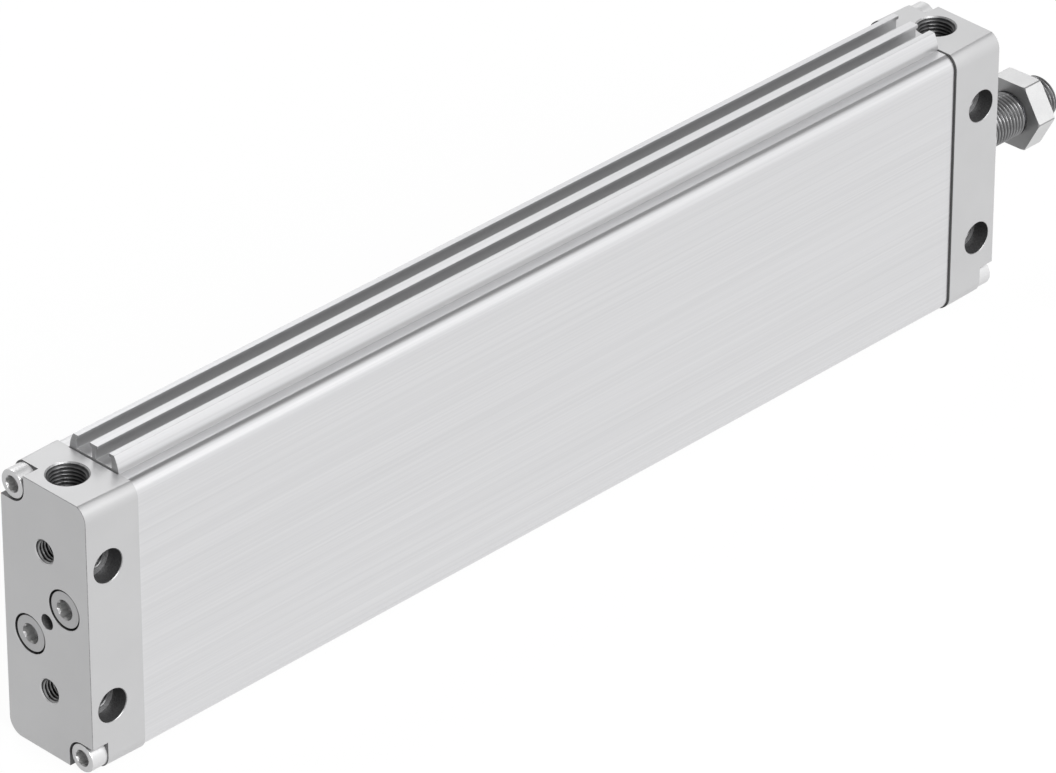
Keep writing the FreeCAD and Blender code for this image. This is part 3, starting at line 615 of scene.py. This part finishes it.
# A narrow groove at the joint under the ribs, lined with painted shade, gives the dark line at their feet.
shade_groove = [(-RIB_BASE_HALF, CAP_TOP - SHADE_GROOVE_DEPTH), (RIB_BASE_HALF, CAP_TOP - SHADE_GROOVE_DEPTH),
            (RIB_BASE_HALF, CAP_TOP + OVERRUN), (-RIB_BASE_HALF, CAP_TOP + OVERRUN)]
shade_groove_ends = (CAP_LENGTH - SHADE_GROOVE_WIDTH, CAP_LENGTH + OVERRUN)
bridged(cuts, [[(x, y, z) for y, z in shade_groove] for x in shade_groove_ends], linings=((0, BORE_SHADE_LINING),))
middle_seat = bored(MIDDLE_RADIUS, MIDDLE_DEPTH, FINE_EDGE)[:3]
for sign in (-1, 1):
    seat = into((0.0, -sign * MIDDLE_OFFSET, sign * MIDDLE_OFFSET), (1, 0, 0))
    turned(cuts, middle_seat, seat, WIDE_SEGMENTS, linings=((1, POCKET_SHADE_LINING),))
centre_hole = bored(CENTRE_RADIUS, CENTRE_DEPTH, FINE_EDGE)
turned(cuts, centre_hole, into((0, 0, 0), (1, 0, 0)), linings=((1, BORE_SHADE_LINING),))
cut(rear_cap, cuts)
smoothed(rear_cap)
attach(rear_cap, "housing")
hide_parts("rear_cap")

bearing_cap = cap_block("bearing_cap_block", BODY_END, -1)
cuts = bmesh.new()
cap_cuts(cuts, BODY_END, -1)
gland = [*bored(GLAND_RADIUS, GLAND_DEPTH, FINE_EDGE)[:3], (GLAND_DEPTH, BUSH_RADIUS),
         (CAP_LENGTH + OVERRUN, BUSH_RADIUS)]
turned(cuts, gland, into((BODY_END, 0, 0), (-1, 0, 0)), WIDE_SEGMENTS, linings=((1, BORE_SHADE_LINING),))
cut(bearing_cap, cuts)
smoothed(bearing_cap)
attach(bearing_cap, "housing")
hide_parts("bearing_cap")


# Threads in the caps
# The mounting holes and the air ports are tapped. Each thread is a sleeve of fine helical ridges that
# stands inwards from the wall of its hole. Painted shade darkens the roots of all the threads, and the
# crests too in the side holes and the ports.

HOLE_PITCH = 1.25 * MM
PORT_PITCH = 1.337 * MM
RIDGE_SHARE = 0.61
HOLE_THREAD_LENGTH = 13.0 * MM
SIDE_THREAD_LENGTH = 7.6 * MM
PORT_THREAD_LENGTH = 10.5 * MM
STEPS_PER_TURN = 10
STEPS_ROUND = 64
CREST_GAIN = 1.3
CREST_SHIFT = 0.15
THREAD_MERGE = 0.001 * MM
THREAD_SMOOTH_ANGLE = 50.0
# Painted shade: dark thread roots, and darker crests in the side holes and the ports.
TAPPED_ROOT_SHADE_TONE = (0.03, 0.03, 0.031, 1.0)
TAPPED_CREST_TONE = (0.30, 0.30, 0.303, 1.0)
SHADED_CREST_TONE = (0.11, 0.11, 0.112, 1.0)
CREST_SPREAD = (0.35, 0.95)
WORN_SPREAD = (0.2, 0.6)
WORN_SHARE = (0.75, 1.0)
CREST_ROUGHNESS_SWING = 0.05


def hollow_shaded(name, root_tone, crest_tone, metallic, roughness, fineness=1500.0):
    """Finish with painted shade in grooves and hollows and a lighter tone on the crests, varied by a grain.
    """
    material, flow, shader = finish(name, Metallic=metallic)
    crest = flow.node("ShaderNodeAttribute", output="Fac", attribute_name="crest")
    grain = flow.noise(fineness)
    share = crest.span(*CREST_SPREAD) * grain.span(*WORN_SPREAD, *WORN_SHARE)
    feed(flow.tint(share, root_tone, crest_tone), shader, "Base Color")
    swing = (roughness - CREST_ROUGHNESS_SWING, roughness + CREST_ROUGHNESS_SWING)
    feed(grain.span(*GRAIN_SPREAD, *swing), shader, "Roughness")
    relief(grain, shader, strength=0.2, depth=0.006 * MM)
    return material


tapped_finish = hollow_shaded("tapped_aluminium", TAPPED_ROOT_SHADE_TONE, TAPPED_CREST_TONE, metallic=0.7, roughness=0.32)
shaded_tapped_finish = hollow_shaded("tapped_side_shaded_aluminium", TAPPED_ROOT_SHADE_TONE, SHADED_CREST_TONE, metallic=0.7,
                            roughness=0.4)


def sockets(tree, **inputs):
    """Gives a geometry tree its named inputs and its geometry output; returns the inputs as flows."""
    kinds = {float: "NodeSocketFloat", int: "NodeSocketInt", str: "NodeSocketGeometry"}
    tree.interface.new_socket("Geometry", in_out="OUTPUT", socket_type="NodeSocketGeometry")
    for name, kind in inputs.items():
        tree.interface.new_socket(name, in_out="INPUT", socket_type=kinds.get(kind, kind))
    entry = tree.nodes.new("NodeGroupInput")
    return {name: Flow(tree, entry.outputs[name]) for name in inputs}


def hand_over(flow, finish_flow):
    """Ends a geometry tree: real copies, their finish, and the group's output."""
    real = flow.node("GeometryNodeRealizeInstances", {0: flow})
    dressed = flow.node("GeometryNodeSetMaterial", {"Geometry": real, "Material": finish_flow})
    ending = flow.tree.nodes.new("NodeGroupOutput")
    flow.tree.links.new(dressed.socket, ending.inputs[0])


def grown(name, tree, mesh, **values):
    """Plain mesh that a geometry tree grows from a mesh with these input values."""
    piece = show(name, mesh)
    grow = piece.modifiers.new("grow", "NODES")
    grow.node_group = tree
    for item in tree.interface.items_tree:
        if item.in_out == "INPUT" and item.name in values:
            grow[item.identifier] = values[item.name]
    return settled(piece)


# A grid is rolled round the x axis: columns 0 to Columns are the thread, whose ridges follow the distance
# along it less the turn round it. One column before and two after are the sleeve's hidden wall.
thread_tree = bpy.data.node_groups.new("Cut thread", "GeometryNodeTree")
given = sockets(thread_tree, Length=float, Wall=float, Ridge=float, Pitch=float, Core=float, Mouth=float,
                Columns=int, Rows=int, Finish="NodeSocketMaterial")
flow = Flow(thread_tree)
grid = flow.node("GeometryNodeMeshGrid", {"Size X": 1.0, "Size Y": 1.0, "Vertices X": given["Columns"] + 4.0,
                                          "Vertices Y": given["Rows"]})
spot = flow.node("GeometryNodeInputPosition")
column = (flow.node("ShaderNodeSeparateXYZ", {0: spot}, output="X") + 0.5) * (given["Columns"] + 3.0) - 1.0
turn = flow.node("ShaderNodeSeparateXYZ", {0: spot}, output="Y") + 0.5
share = column / given["Columns"]
back = flow.maths("GREATER_THAN", column, given["Columns"] + 1.5)
hidden = flow.maths("MAXIMUM", flow.maths("LESS_THAN", column, -0.5),
                    flow.maths("GREATER_THAN", column, given["Columns"] + 0.5))
along = share.span(0.0, 1.0) * (1.0 - back) * given["Length"]
wave = flow.maths("PINGPONG", along / given["Pitch"] - turn, 0.5) * 2.0
crest = (wave * CREST_GAIN - CREST_SHIFT).span(0.0, 1.0)
ridge = crest * given["Ridge"]
sense = flow.maths("SIGN", given["Ridge"])
opening = (given["Mouth"] + sense * along) * sense
cut_radius = flow.maths("MINIMUM", (given["Wall"] + ridge) * sense, opening) * sense
radius = cut_radius * (1.0 - hidden) + given["Core"] * hidden
angle = turn * math.tau
rolled = flow.node("ShaderNodeCombineXYZ", {0: along, 1: radius * flow.maths("COSINE", angle),
                                            2: radius * flow.maths("SINE", angle)})
marked = flow.node("GeometryNodeStoreNamedAttribute", {"Geometry": grid, "Name": "crest", "Value": crest})
rounded = flow.node("GeometryNodeSetPosition", {"Geometry": marked, "Position": rolled})
joined = flow.node("GeometryNodeMergeByDistance", {"Geometry": rounded, "Distance": THREAD_MERGE})
hand_over(joined, given["Finish"])

# Copies of one shape stand at the points of a mesh, each turned to run the way its point faces.
set_tree = bpy.data.node_groups.new("Set in place", "GeometryNodeTree")
given = sockets(set_tree, Places=str, Shape="NodeSocketObject", Finish="NodeSocketMaterial")
flow = Flow(set_tree)
shape = flow.node("GeometryNodeObjectInfo", {"Object": given["Shape"]}, output="Geometry")
facing = flow.node("GeometryNodeInputNamedAttribute", {"Name": "facing"}, data_type="FLOAT_VECTOR")
heading = flow.node("FunctionNodeAlignRotationToVector", {"Vector": facing}, axis="X")
copies = flow.node("GeometryNodeInstanceOnPoints", {"Points": given["Places"], "Instance": shape,
                                                    "Rotation": heading})
hand_over(copies, given["Finish"])


def places(name, rows):
    """Mesh of bare points from (point, direction) rows, for copies to stand on."""
    mesh = bpy.data.meshes.new(name)
    mesh.from_pydata([point for point, _ in rows], [], [])
    facing = mesh.attributes.new("facing", "FLOAT_VECTOR", "POINT")
    for item, (_, direction) in zip(facing.data, rows):
        item.vector = direction
    return mesh


def tapped(name, rows, finish_used, length, wall, pitch, ridge_sign, core, mouth):
    """Threads of one size at all their places, as one piece."""
    form = grown(name + "_form", thread_tree, bpy.data.meshes.new(name + "_form"), Length=length, Wall=wall,
                 Ridge=ridge_sign * RIDGE_SHARE * pitch, Pitch=pitch, Core=core, Mouth=mouth,
                 Columns=int(STEPS_PER_TURN * length / pitch), Rows=STEPS_ROUND + 1, Finish=finish_used)
    piece = grown(name, set_tree, places(name, rows), Shape=form, Finish=finish_used)
    bpy.data.objects.remove(form)
    work = bmesh.new()
    work.from_mesh(piece.data)
    bmesh.ops.delete(work, geom=[edge for edge in work.edges if not edge.link_faces], context="EDGES")
    bmesh.ops.recalc_face_normals(work, faces=work.faces)
    work.to_mesh(piece.data)
    work.free()
    return smoothed(piece, THREAD_SMOOTH_ANGLE)


end_rows = []
side_rows = []
port_rows = []
for x_face, inward in ((0.0, 1), (BODY_END, -1)):
    port_rows.append(((x_face + inward * PORT_PLACE, 0, BODY_HEIGHT / 2 - PORT_MOUTH), (0, 0, -1)))
    for z in (-HOLE_SPACING / 2, HOLE_SPACING / 2):
        end_rows.append(((x_face + inward * HOLE_MOUTH, 0, z), (inward, 0, 0)))
        for side in (-1, 1):
            depth = side * (BODY_THICKNESS / 2 - STEP_DEPTH - FINE_EDGE)
            side_rows.append(((x_face + inward * SIDE_PLACE, depth, z), (0, -side, 0)))
for name, rows, length, wall, pitch, used in (
        ("end_hole_threads", end_rows, HOLE_THREAD_LENGTH, HOLE_RADIUS, HOLE_PITCH, tapped_finish),
        ("side_hole_threads", side_rows, SIDE_THREAD_LENGTH, HOLE_RADIUS, HOLE_PITCH, shaded_tapped_finish),
        ("port_threads", port_rows, PORT_THREAD_LENGTH, PORT_RADIUS, PORT_PITCH, shaded_tapped_finish)):
    threads = tapped(name, rows, used, length, wall, pitch, ridge_sign=-1, core=wall + SLEEVE_WALL,
                     mouth=wall)
    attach(threads, "housing")


# Screws
# Zinc-plated steel screws with cylinder heads and six-lobe sockets. Two at opposite corners of each cap
# pull it onto the barrel, and two in the middle of the rear cap hold the plug inside the bore.

CORNER_HEAD_RADIUS = 4.9 * MM
CORNER_SOCKET = 5.8 * MM
CORNER_SOCKET_DEPTH = 2.8 * MM
MIDDLE_HEAD_RADIUS = 6.3 * MM
MIDDLE_SOCKET = 7.0 * MM
MIDDLE_SOCKET_DEPTH = 3.4 * MM
CORNER_SUNK = 0.2 * MM
MIDDLE_SUNK = 0.3 * MM
HEAD_EDGE = 0.4 * MM
HEAD_EDGE_SHARE = 0.3
HEAD_SEGMENTS = 144
HEAD_SMOOTH_ANGLE = 30.0
HEAD_GRAIN = 9000.0
SOCKET_LEAD = 0.6 * MM
LOBE_ROOT_SHARE = 0.86
LOBE_TIP_SHARE = 0.18
ZINC_TONES = ((0.58, 0.58, 0.59, 1.0), (0.66, 0.66, 0.67, 1.0))
# Painted shade inside the screws' sockets.
SOCKET_SHADE_TONE = (0.44, 0.44, 0.44, 1.0)
CORNER_HEAD_TONE = (0.64, 0.64, 0.645, 1.0)
MIDDLE_HEAD_TONE = (0.44, 0.44, 0.445, 1.0)
screw_finish = grained("screw_zinc", ZINC_TONES, metallic=0.55, roughness=0.28, grain=3000.0,
                       depth=0.001 * MM)
corner_head_finish = hollow_shaded("corner_head_zinc", SOCKET_SHADE_TONE, CORNER_HEAD_TONE, metallic=0.55, roughness=0.33,
                            fineness=HEAD_GRAIN)
middle_head_finish = hollow_shaded("middle_head_zinc", SOCKET_SHADE_TONE, MIDDLE_HEAD_TONE, metallic=0.55, roughness=0.33,
                            fineness=HEAD_GRAIN)


def six_lobe(size):
    """Radius of a six-lobe socket by the angle round it: round lobes that run into hollow arcs."""
    tip = LOBE_TIP_SHARE * size
    reach = size / 2 - tip
    root = LOBE_ROOT_SHARE * size / 2
    step = math.pi / 6
    spread = reach ** 2 + root ** 2 - 2 * reach * root * math.cos(step) - tip ** 2
    hollow = spread / (2 * (tip - root + reach * math.cos(step)))
    far = root + hollow
    share = tip / (tip + hollow)
    join = Vector((reach, 0)).lerp(Vector((far * math.cos(step), far * math.sin(step))), share)
    change = math.atan2(join.y, join.x)

    def radius(angle):
        off = (angle + step) % (2 * step) - step
        if abs(off) < change:
            return reach * math.cos(off) + math.sqrt(tip ** 2 - (reach * math.sin(off)) ** 2)
        valley = step - abs(off)
        return far * math.cos(valley) - math.sqrt(hollow ** 2 - (far * math.sin(valley)) ** 2)

    return radius


def socket_heads(name, rows, finish_used, head_radius, sunk, seat_depth, socket, socket_depth):
    """Heads of like screws at all their places, as one piece; a round lead-in opens each socket."""
    lobes = six_lobe(socket)
    edge_middle = HEAD_EDGE_SHARE * HEAD_EDGE
    profile = [(sunk + socket_depth, lobes), (sunk + SOCKET_LEAD, lobes), (sunk, socket / 2),
               (sunk, head_radius - HEAD_EDGE), (sunk + edge_middle, head_radius - edge_middle),
               (sunk + HEAD_EDGE, head_radius), (seat_depth, head_radius)]
    work = bmesh.new()
    turned(work, profile, Matrix.Identity(4), HEAD_SEGMENTS)
    form = formed(name + "_form", work)
    # crest is 0 deep in each socket, where the finish paints shade, and 1 on the face and rim.
    crest = form.data.attributes.new("crest", "FLOAT", "POINT")
    for point, item in zip(form.data.vertices, crest.data):
        item.value = float(point.co.x < sunk + SOCKET_LEAD / 2 or point.co.yz.length > socket / 2 + FINE_EDGE)
    piece = grown(name, set_tree, places(name, rows), Shape=form, Finish=finish_used)
    bpy.data.objects.remove(form)
    smoothed(piece, HEAD_SMOOTH_ANGLE)
    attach(piece, "housing")
    return piece


corner_y = BODY_THICKNESS / 2 - CORNER_INSET
corner_z = BODY_HEIGHT / 2 - CORNER_INSET
for node, x_face, inward in (("rear_corner_screws", 0.0, 1), ("front_corner_screws", BODY_END, -1)):
    rows = [((x_face, sign * corner_y, sign * corner_z), (inward, 0, 0)) for sign in (1, -1)]
    heads = socket_heads(node.replace("screws", "heads"), rows, corner_head_finish, CORNER_HEAD_RADIUS,
                         CORNER_SUNK, POCKET_DEPTH, CORNER_SOCKET, CORNER_SOCKET_DEPTH)
    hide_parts(node)
rows = [((0.0, -sign * MIDDLE_OFFSET, sign * MIDDLE_OFFSET), (1, 0, 0)) for sign in (1, -1)]
heads = socket_heads("middle_heads", rows, middle_head_finish, MIDDLE_HEAD_RADIUS, MIDDLE_SUNK, MIDDLE_DEPTH,
                     MIDDLE_SOCKET, MIDDLE_SOCKET_DEPTH)
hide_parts("middle_screws")
dress(screw_finish, "piston_screw")


# Piston rod
# A ground and hard-chromed steel rod that slides out of the bearing cap. Its end has two spanner flats
# and is turned down for a rolled thread, which takes a rod eye or a coupling.

ROD_RADIUS = 10.0 * MM
STUD_RADIUS = 6.0 * MM
STUD_END = 48.7 * MM
ROD_SHOULDER = 59.7 * MM
FLAT_START = 411.5 * MM
FLAT_END = 418.5 * MM
FLAT_HALF = 8.5 * MM
THREAD_START = 422.7 * MM
ROD_TIP = 454.7 * MM
ROD_THREAD_RADIUS = 8.0 * MM
ROD_PITCH = 1.5 * MM
ROD_CORE_RADIUS = 7.0 * MM
TIP_CHAMFER = 1.5 * MM
NUT_START = 438.0 * MM
NUT_END = 446.0 * MM
NUT_ROOM = 0.3 * MM
THREAD_LAP = 0.6 * MM
ROD_SEGMENTS = 128
CHROME_TONES = ((0.70, 0.70, 0.72, 1.0), (0.78, 0.78, 0.80, 1.0))
# Painted shade in the roots of the rod's rolled thread.
ROLLED_ROOT_SHADE_TONE = (0.14, 0.14, 0.142, 1.0)
ROLLED_CREST_TONE = (0.31, 0.31, 0.314, 1.0)
chrome_finish = grained("rod_chrome", CHROME_TONES, metallic=1.0, roughness=0.2, grain=1.0, depth=0.004 * MM,
                        stretch=(5000.0, 120.0, 120.0))
rolled_finish = hollow_shaded("rod_thread_steel", ROLLED_ROOT_SHADE_TONE, ROLLED_CREST_TONE, metallic=0.85, roughness=0.42)


def flat_radius(angle):
    """Radius of the rod where its two spanner flats are."""
    rise = abs(math.sin(angle))
    return min(ROD_RADIUS, FLAT_HALF / rise) if rise > 0 else ROD_RADIUS


shoulder = ROD_RADIUS - ROD_THREAD_RADIUS
rod_profile = [(STUD_END, STUD_RADIUS), (ROD_SHOULDER, STUD_RADIUS), (ROD_SHOULDER, ROD_RADIUS),
               (FLAT_START, ROD_RADIUS), (FLAT_START, flat_radius), (FLAT_END, flat_radius),
               (FLAT_END, ROD_RADIUS), (THREAD_START - shoulder, ROD_RADIUS),
               (THREAD_START, ROD_THREAD_RADIUS), (THREAD_START, ROD_CORE_RADIUS),
               (NUT_END + NUT_ROOM + THREAD_LAP, ROD_CORE_RADIUS)]
work = bmesh.new()
turned(work, rod_profile, Matrix.Identity(4), ROD_SEGMENTS)
rod = formed("rod_shaft", work)
rod.data.materials.append(chrome_finish)
smoothed(rod)
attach(rod, "rod")
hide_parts("piston_rod")

root_radius = ROD_THREAD_RADIUS - RIDGE_SHARE * ROD_PITCH
free_length = ROD_TIP - NUT_END - NUT_ROOM
tip_thread = tapped("rod_tip_thread", [((ROD_TIP, 0, 0), (-1, 0, 0))], rolled_finish, free_length,
                    root_radius, ROD_PITCH, ridge_sign=1, core=0.0, mouth=ROD_THREAD_RADIUS - TIP_CHAMFER)
inner_end = NUT_START - NUT_ROOM
inner_length = inner_end - THREAD_START + THREAD_LAP
inner_thread = tapped("rod_inner_thread", [((inner_end, 0, 0), (-1, 0, 0))], rolled_finish, inner_length,
                      root_radius, ROD_PITCH, ridge_sign=1, core=0.0, mouth=ROD_THREAD_RADIUS)
for threads in (tip_thread, inner_thread):
    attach(threads, "rod")


# Rod nut
# A thin zinc-plated hexagon nut on the rod's thread. It locks whatever is screwed onto the rod end, and it
# is chamfered on both faces, so its corners are trimmed in shallow arcs. Its end faces and broken corners
# are darker with painted shade.

NUT_WIDTH = 24.0 * MM
NUT_TURN = math.radians(-2.0)
NUT_CORNER_TRIM = 0.38 * MM
NUT_CORNER_BREAK = 0.3 * MM
NUT_TRIM_SLOPE = math.tan(math.radians(30.0))
NUT_BORE_RADIUS = 7.14 * MM
NUT_OPEN_RADIUS = 8.05 * MM
NUT_CORNER_RADIUS = NUT_WIDTH / math.sqrt(3)
NUT_LEAST_CORNER = NUT_WIDTH / 8
NUT_SEGMENTS = 144
NUT_FACING = 0.5
NUT_SHADE_LINING = 1
NUT_TONES = ((0.55, 0.55, 0.555, 1.0), (0.64, 0.64, 0.64, 1.0))
# Painted shade on the nut's end faces and broken corners.
NUT_FACE_SHADE_TONES = ((0.25, 0.25, 0.252, 1.0), (0.34, 0.34, 0.342, 1.0))
nut_finish = grained("nut_zinc", NUT_TONES, metallic=0.6, roughness=0.36, grain=4000.0, depth=0.003 * MM)
nut_face_shade_finish = grained("nut_face_shade", NUT_FACE_SHADE_TONES, metallic=0.7, roughness=0.36, grain=4000.0,
                          depth=0.003 * MM)


def hexagon(angle):
    """Radius of the nut's six flats by the angle round it."""
    off = (angle - NUT_TURN) % (math.pi / 3) - math.pi / 6
    return NUT_WIDTH / 2 / math.cos(off)


nut_face_radius = NUT_CORNER_RADIUS - NUT_CORNER_TRIM / NUT_TRIM_SLOPE


def face_edge(angle):
    """Radius of the nut's flat face, which is round at the corners."""
    return min(nut_face_radius, hexagon(angle))


def trim(angle):
    """How far the chamfer reaches down the nut's side at an angle."""
    return max(0.0, (hexagon(angle) - nut_face_radius) * NUT_TRIM_SLOPE)


lead = NUT_OPEN_RADIUS - NUT_BORE_RADIUS
nut_profile = [(NUT_START + lead, NUT_BORE_RADIUS), (NUT_START, NUT_OPEN_RADIUS), (NUT_START, face_edge),
               (lambda angle: NUT_START + trim(angle), hexagon),
               (lambda angle: NUT_END - trim(angle), hexagon),
               (NUT_END, face_edge), (NUT_END, NUT_OPEN_RADIUS), (NUT_END - lead, NUT_BORE_RADIUS)]
work = bmesh.new()
turned(work, nut_profile, Matrix.Identity(4), NUT_SEGMENTS, NUT_TURN, hollow=True)
nut = formed("hexagon_nut", work)
nut.data.materials.append(nut_finish)
nut.data.materials.append(nut_face_shade_finish)
# The end faces and, through the bevel, the broken corners take the painted shade.
for face in nut.data.polygons:
    if abs(face.normal.x) > NUT_FACING:
        face.material_index = NUT_SHADE_LINING
broken = nut.data.attributes.new("bevel_weight_edge", "FLOAT", "EDGE")
for edge, item in zip(nut.data.edges, broken.data):
    tips = [nut.data.vertices[number].co for number in edge.vertices]
    lengthwise = abs(tips[0].x - tips[1].x) > NUT_LEAST_CORNER
    outermost = min(tip.yz.length for tip in tips) > NUT_CORNER_RADIUS - FINE_EDGE / 2
    item.value = float(lengthwise and outermost)
bevel = nut.modifiers.new("broken corners", "BEVEL")
bevel.limit_method = "WEIGHT"
bevel.width = NUT_CORNER_BREAK
bevel.segments = 1
bevel.material = NUT_SHADE_LINING
settled(nut)
smoothed(nut)
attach(nut, "nut")
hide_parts("rod_nut")


# Studio
# A pale floor under the cylinder, a broad soft light high in front of the near wide face, a weaker one from
# behind, and a white surround with a dim ceiling behind, which the shiny metal mirrors. A long lens looks
# down on the rear cap's corner.

WHITE = (1.0, 1.0, 1.0, 1.0)
FLOOR_GAP = 0.02 * MM
FLOOR_LEVEL = -BODY_HEIGHT / 2 - CAP_FLARE - FLOOR_GAP
FLOOR_REACH = 12.0
FLOOR_PALE_TONE = (0.80, 0.80, 0.80, 1.0)
FLOOR_SHADED_TONE = (0.26, 0.26, 0.26, 1.0)
FLOOR_WHITE_SHARE = 0.95
SKY_STRENGTH = 0.33
CEILING_STRENGTH = 0.02
CEILING_RISE = (0.61, 0.72)
CEILING_EDGE = (-0.28, -0.1)
BACK_LIGHT_DIRECTION = (0.3, 0.72, 1.0)
BACK_LIGHT_STRENGTH = 1.1
BACK_LIGHT_ANGLE = math.radians(24.0)
FRONT_LIGHT_DIRECTION = (-0.1, -1.0, 0.75)
FRONT_LIGHT_STRENGTH = 3.8
FRONT_LIGHT_ANGLE = math.radians(45.0)
CAMERA_PLACE = (-1339.54 * MM, -1543.16 * MM, 1358.18 * MM)
CAMERA_AZIMUTH = math.radians(-45.0790)
CAMERA_ELEVATION = math.radians(31.9956)
CAMERA_LENS = 273.583
CAMERA_SENSOR = 36.0
CAMERA_REACH = 50.0

floor_mesh = bpy.data.meshes.new("floor")
floor_corners = [(x * FLOOR_REACH, y * FLOOR_REACH, FLOOR_LEVEL)
                 for x, y in ((-1, -1), (1, -1), (1, 1), (-1, 1))]
floor_mesh.from_pydata(floor_corners, [], [(0, 1, 2, 3)])
floor = show("floor", floor_mesh)


def seen(flow):
    """1 where a ray comes from the camera or off a shiny or clear surface, and 0 for the rest."""
    camera_ray = flow.node("ShaderNodeLightPath", output="Is Camera Ray")
    glossy_ray = flow.node("ShaderNodeLightPath", output="Is Glossy Ray")
    clear_ray = flow.node("ShaderNodeLightPath", output="Is Transmission Ray")
    return flow.maths("MINIMUM", camera_ray + glossy_ray + clear_ray, 1.0)


floor_finish, flow, shader = finish("floor_paper", Roughness=0.9, Specular_IOR_Level=0.1)
shown = seen(flow)
feed(flow.tint(shown, FLOOR_SHADED_TONE, FLOOR_PALE_TONE), shader, "Base Color")
white = flow.node("ShaderNodeEmission", {"Color": WHITE, "Strength": 1.0})
paper = Flow(flow.tree, shader.outputs[0])
blended = flow.node("ShaderNodeMixShader", {0: shown * FLOOR_WHITE_SHARE, 1: paper, 2: white})
flow.tree.links.new(blended.socket, flow.tree.nodes["Material Output"].inputs["Surface"])
floor.data.materials.append(floor_finish)

sky = bpy.data.worlds.new("studio")
sky.use_nodes = True
flow = Flow(sky.node_tree)
view_ray = flow.node("ShaderNodeTexCoord", output="Generated")
upward = flow.node("ShaderNodeSeparateXYZ", {0: view_ray}, output="Z")
backward = flow.node("ShaderNodeSeparateXYZ", {0: view_ray}, output="Y")
ceiling = (upward.span(*CEILING_RISE) * backward.span(*CEILING_EDGE)).span(0.0, 1.0, 1.0, CEILING_STRENGTH)
shown = seen(flow)
backdrop = sky.node_tree.nodes["Background"]
feed(SKY_STRENGTH * (1.0 - shown) + ceiling * shown, backdrop, "Strength")
backdrop.inputs["Color"].default_value = WHITE
bpy.context.scene.world = sky

for name, direction, strength, angle in (
        ("back_light", BACK_LIGHT_DIRECTION, BACK_LIGHT_STRENGTH, BACK_LIGHT_ANGLE),
        ("front_light", FRONT_LIGHT_DIRECTION, FRONT_LIGHT_STRENGTH, FRONT_LIGHT_ANGLE)):
    lamp = bpy.data.lights.new(name, "SUN")
    lamp.energy = strength
    lamp.angle = angle
    hung = bpy.data.objects.new(name, lamp)
    hung.rotation_euler = Vector(direction).to_track_quat("Z", "Y").to_euler()
    bpy.context.scene.collection.objects.link(hung)

lens = bpy.data.cameras.new("camera")
lens.sensor_fit = "HORIZONTAL"
lens.sensor_width = CAMERA_SENSOR
lens.lens = CAMERA_LENS
lens.clip_end = CAMERA_REACH
camera = bpy.data.objects.new("camera", lens)
towards = Vector((math.sin(CAMERA_AZIMUTH) * math.cos(CAMERA_ELEVATION),
                  -math.cos(CAMERA_AZIMUTH) * math.cos(CAMERA_ELEVATION), math.sin(CAMERA_ELEVATION)))
camera.rotation_euler = towards.to_track_quat("Z", "Y").to_euler()
camera.location = CAMERA_PLACE
bpy.context.scene.collection.objects.link(camera)
bpy.context.scene.camera = camera
bpy.context.scene.view_settings.view_transform = "Standard"
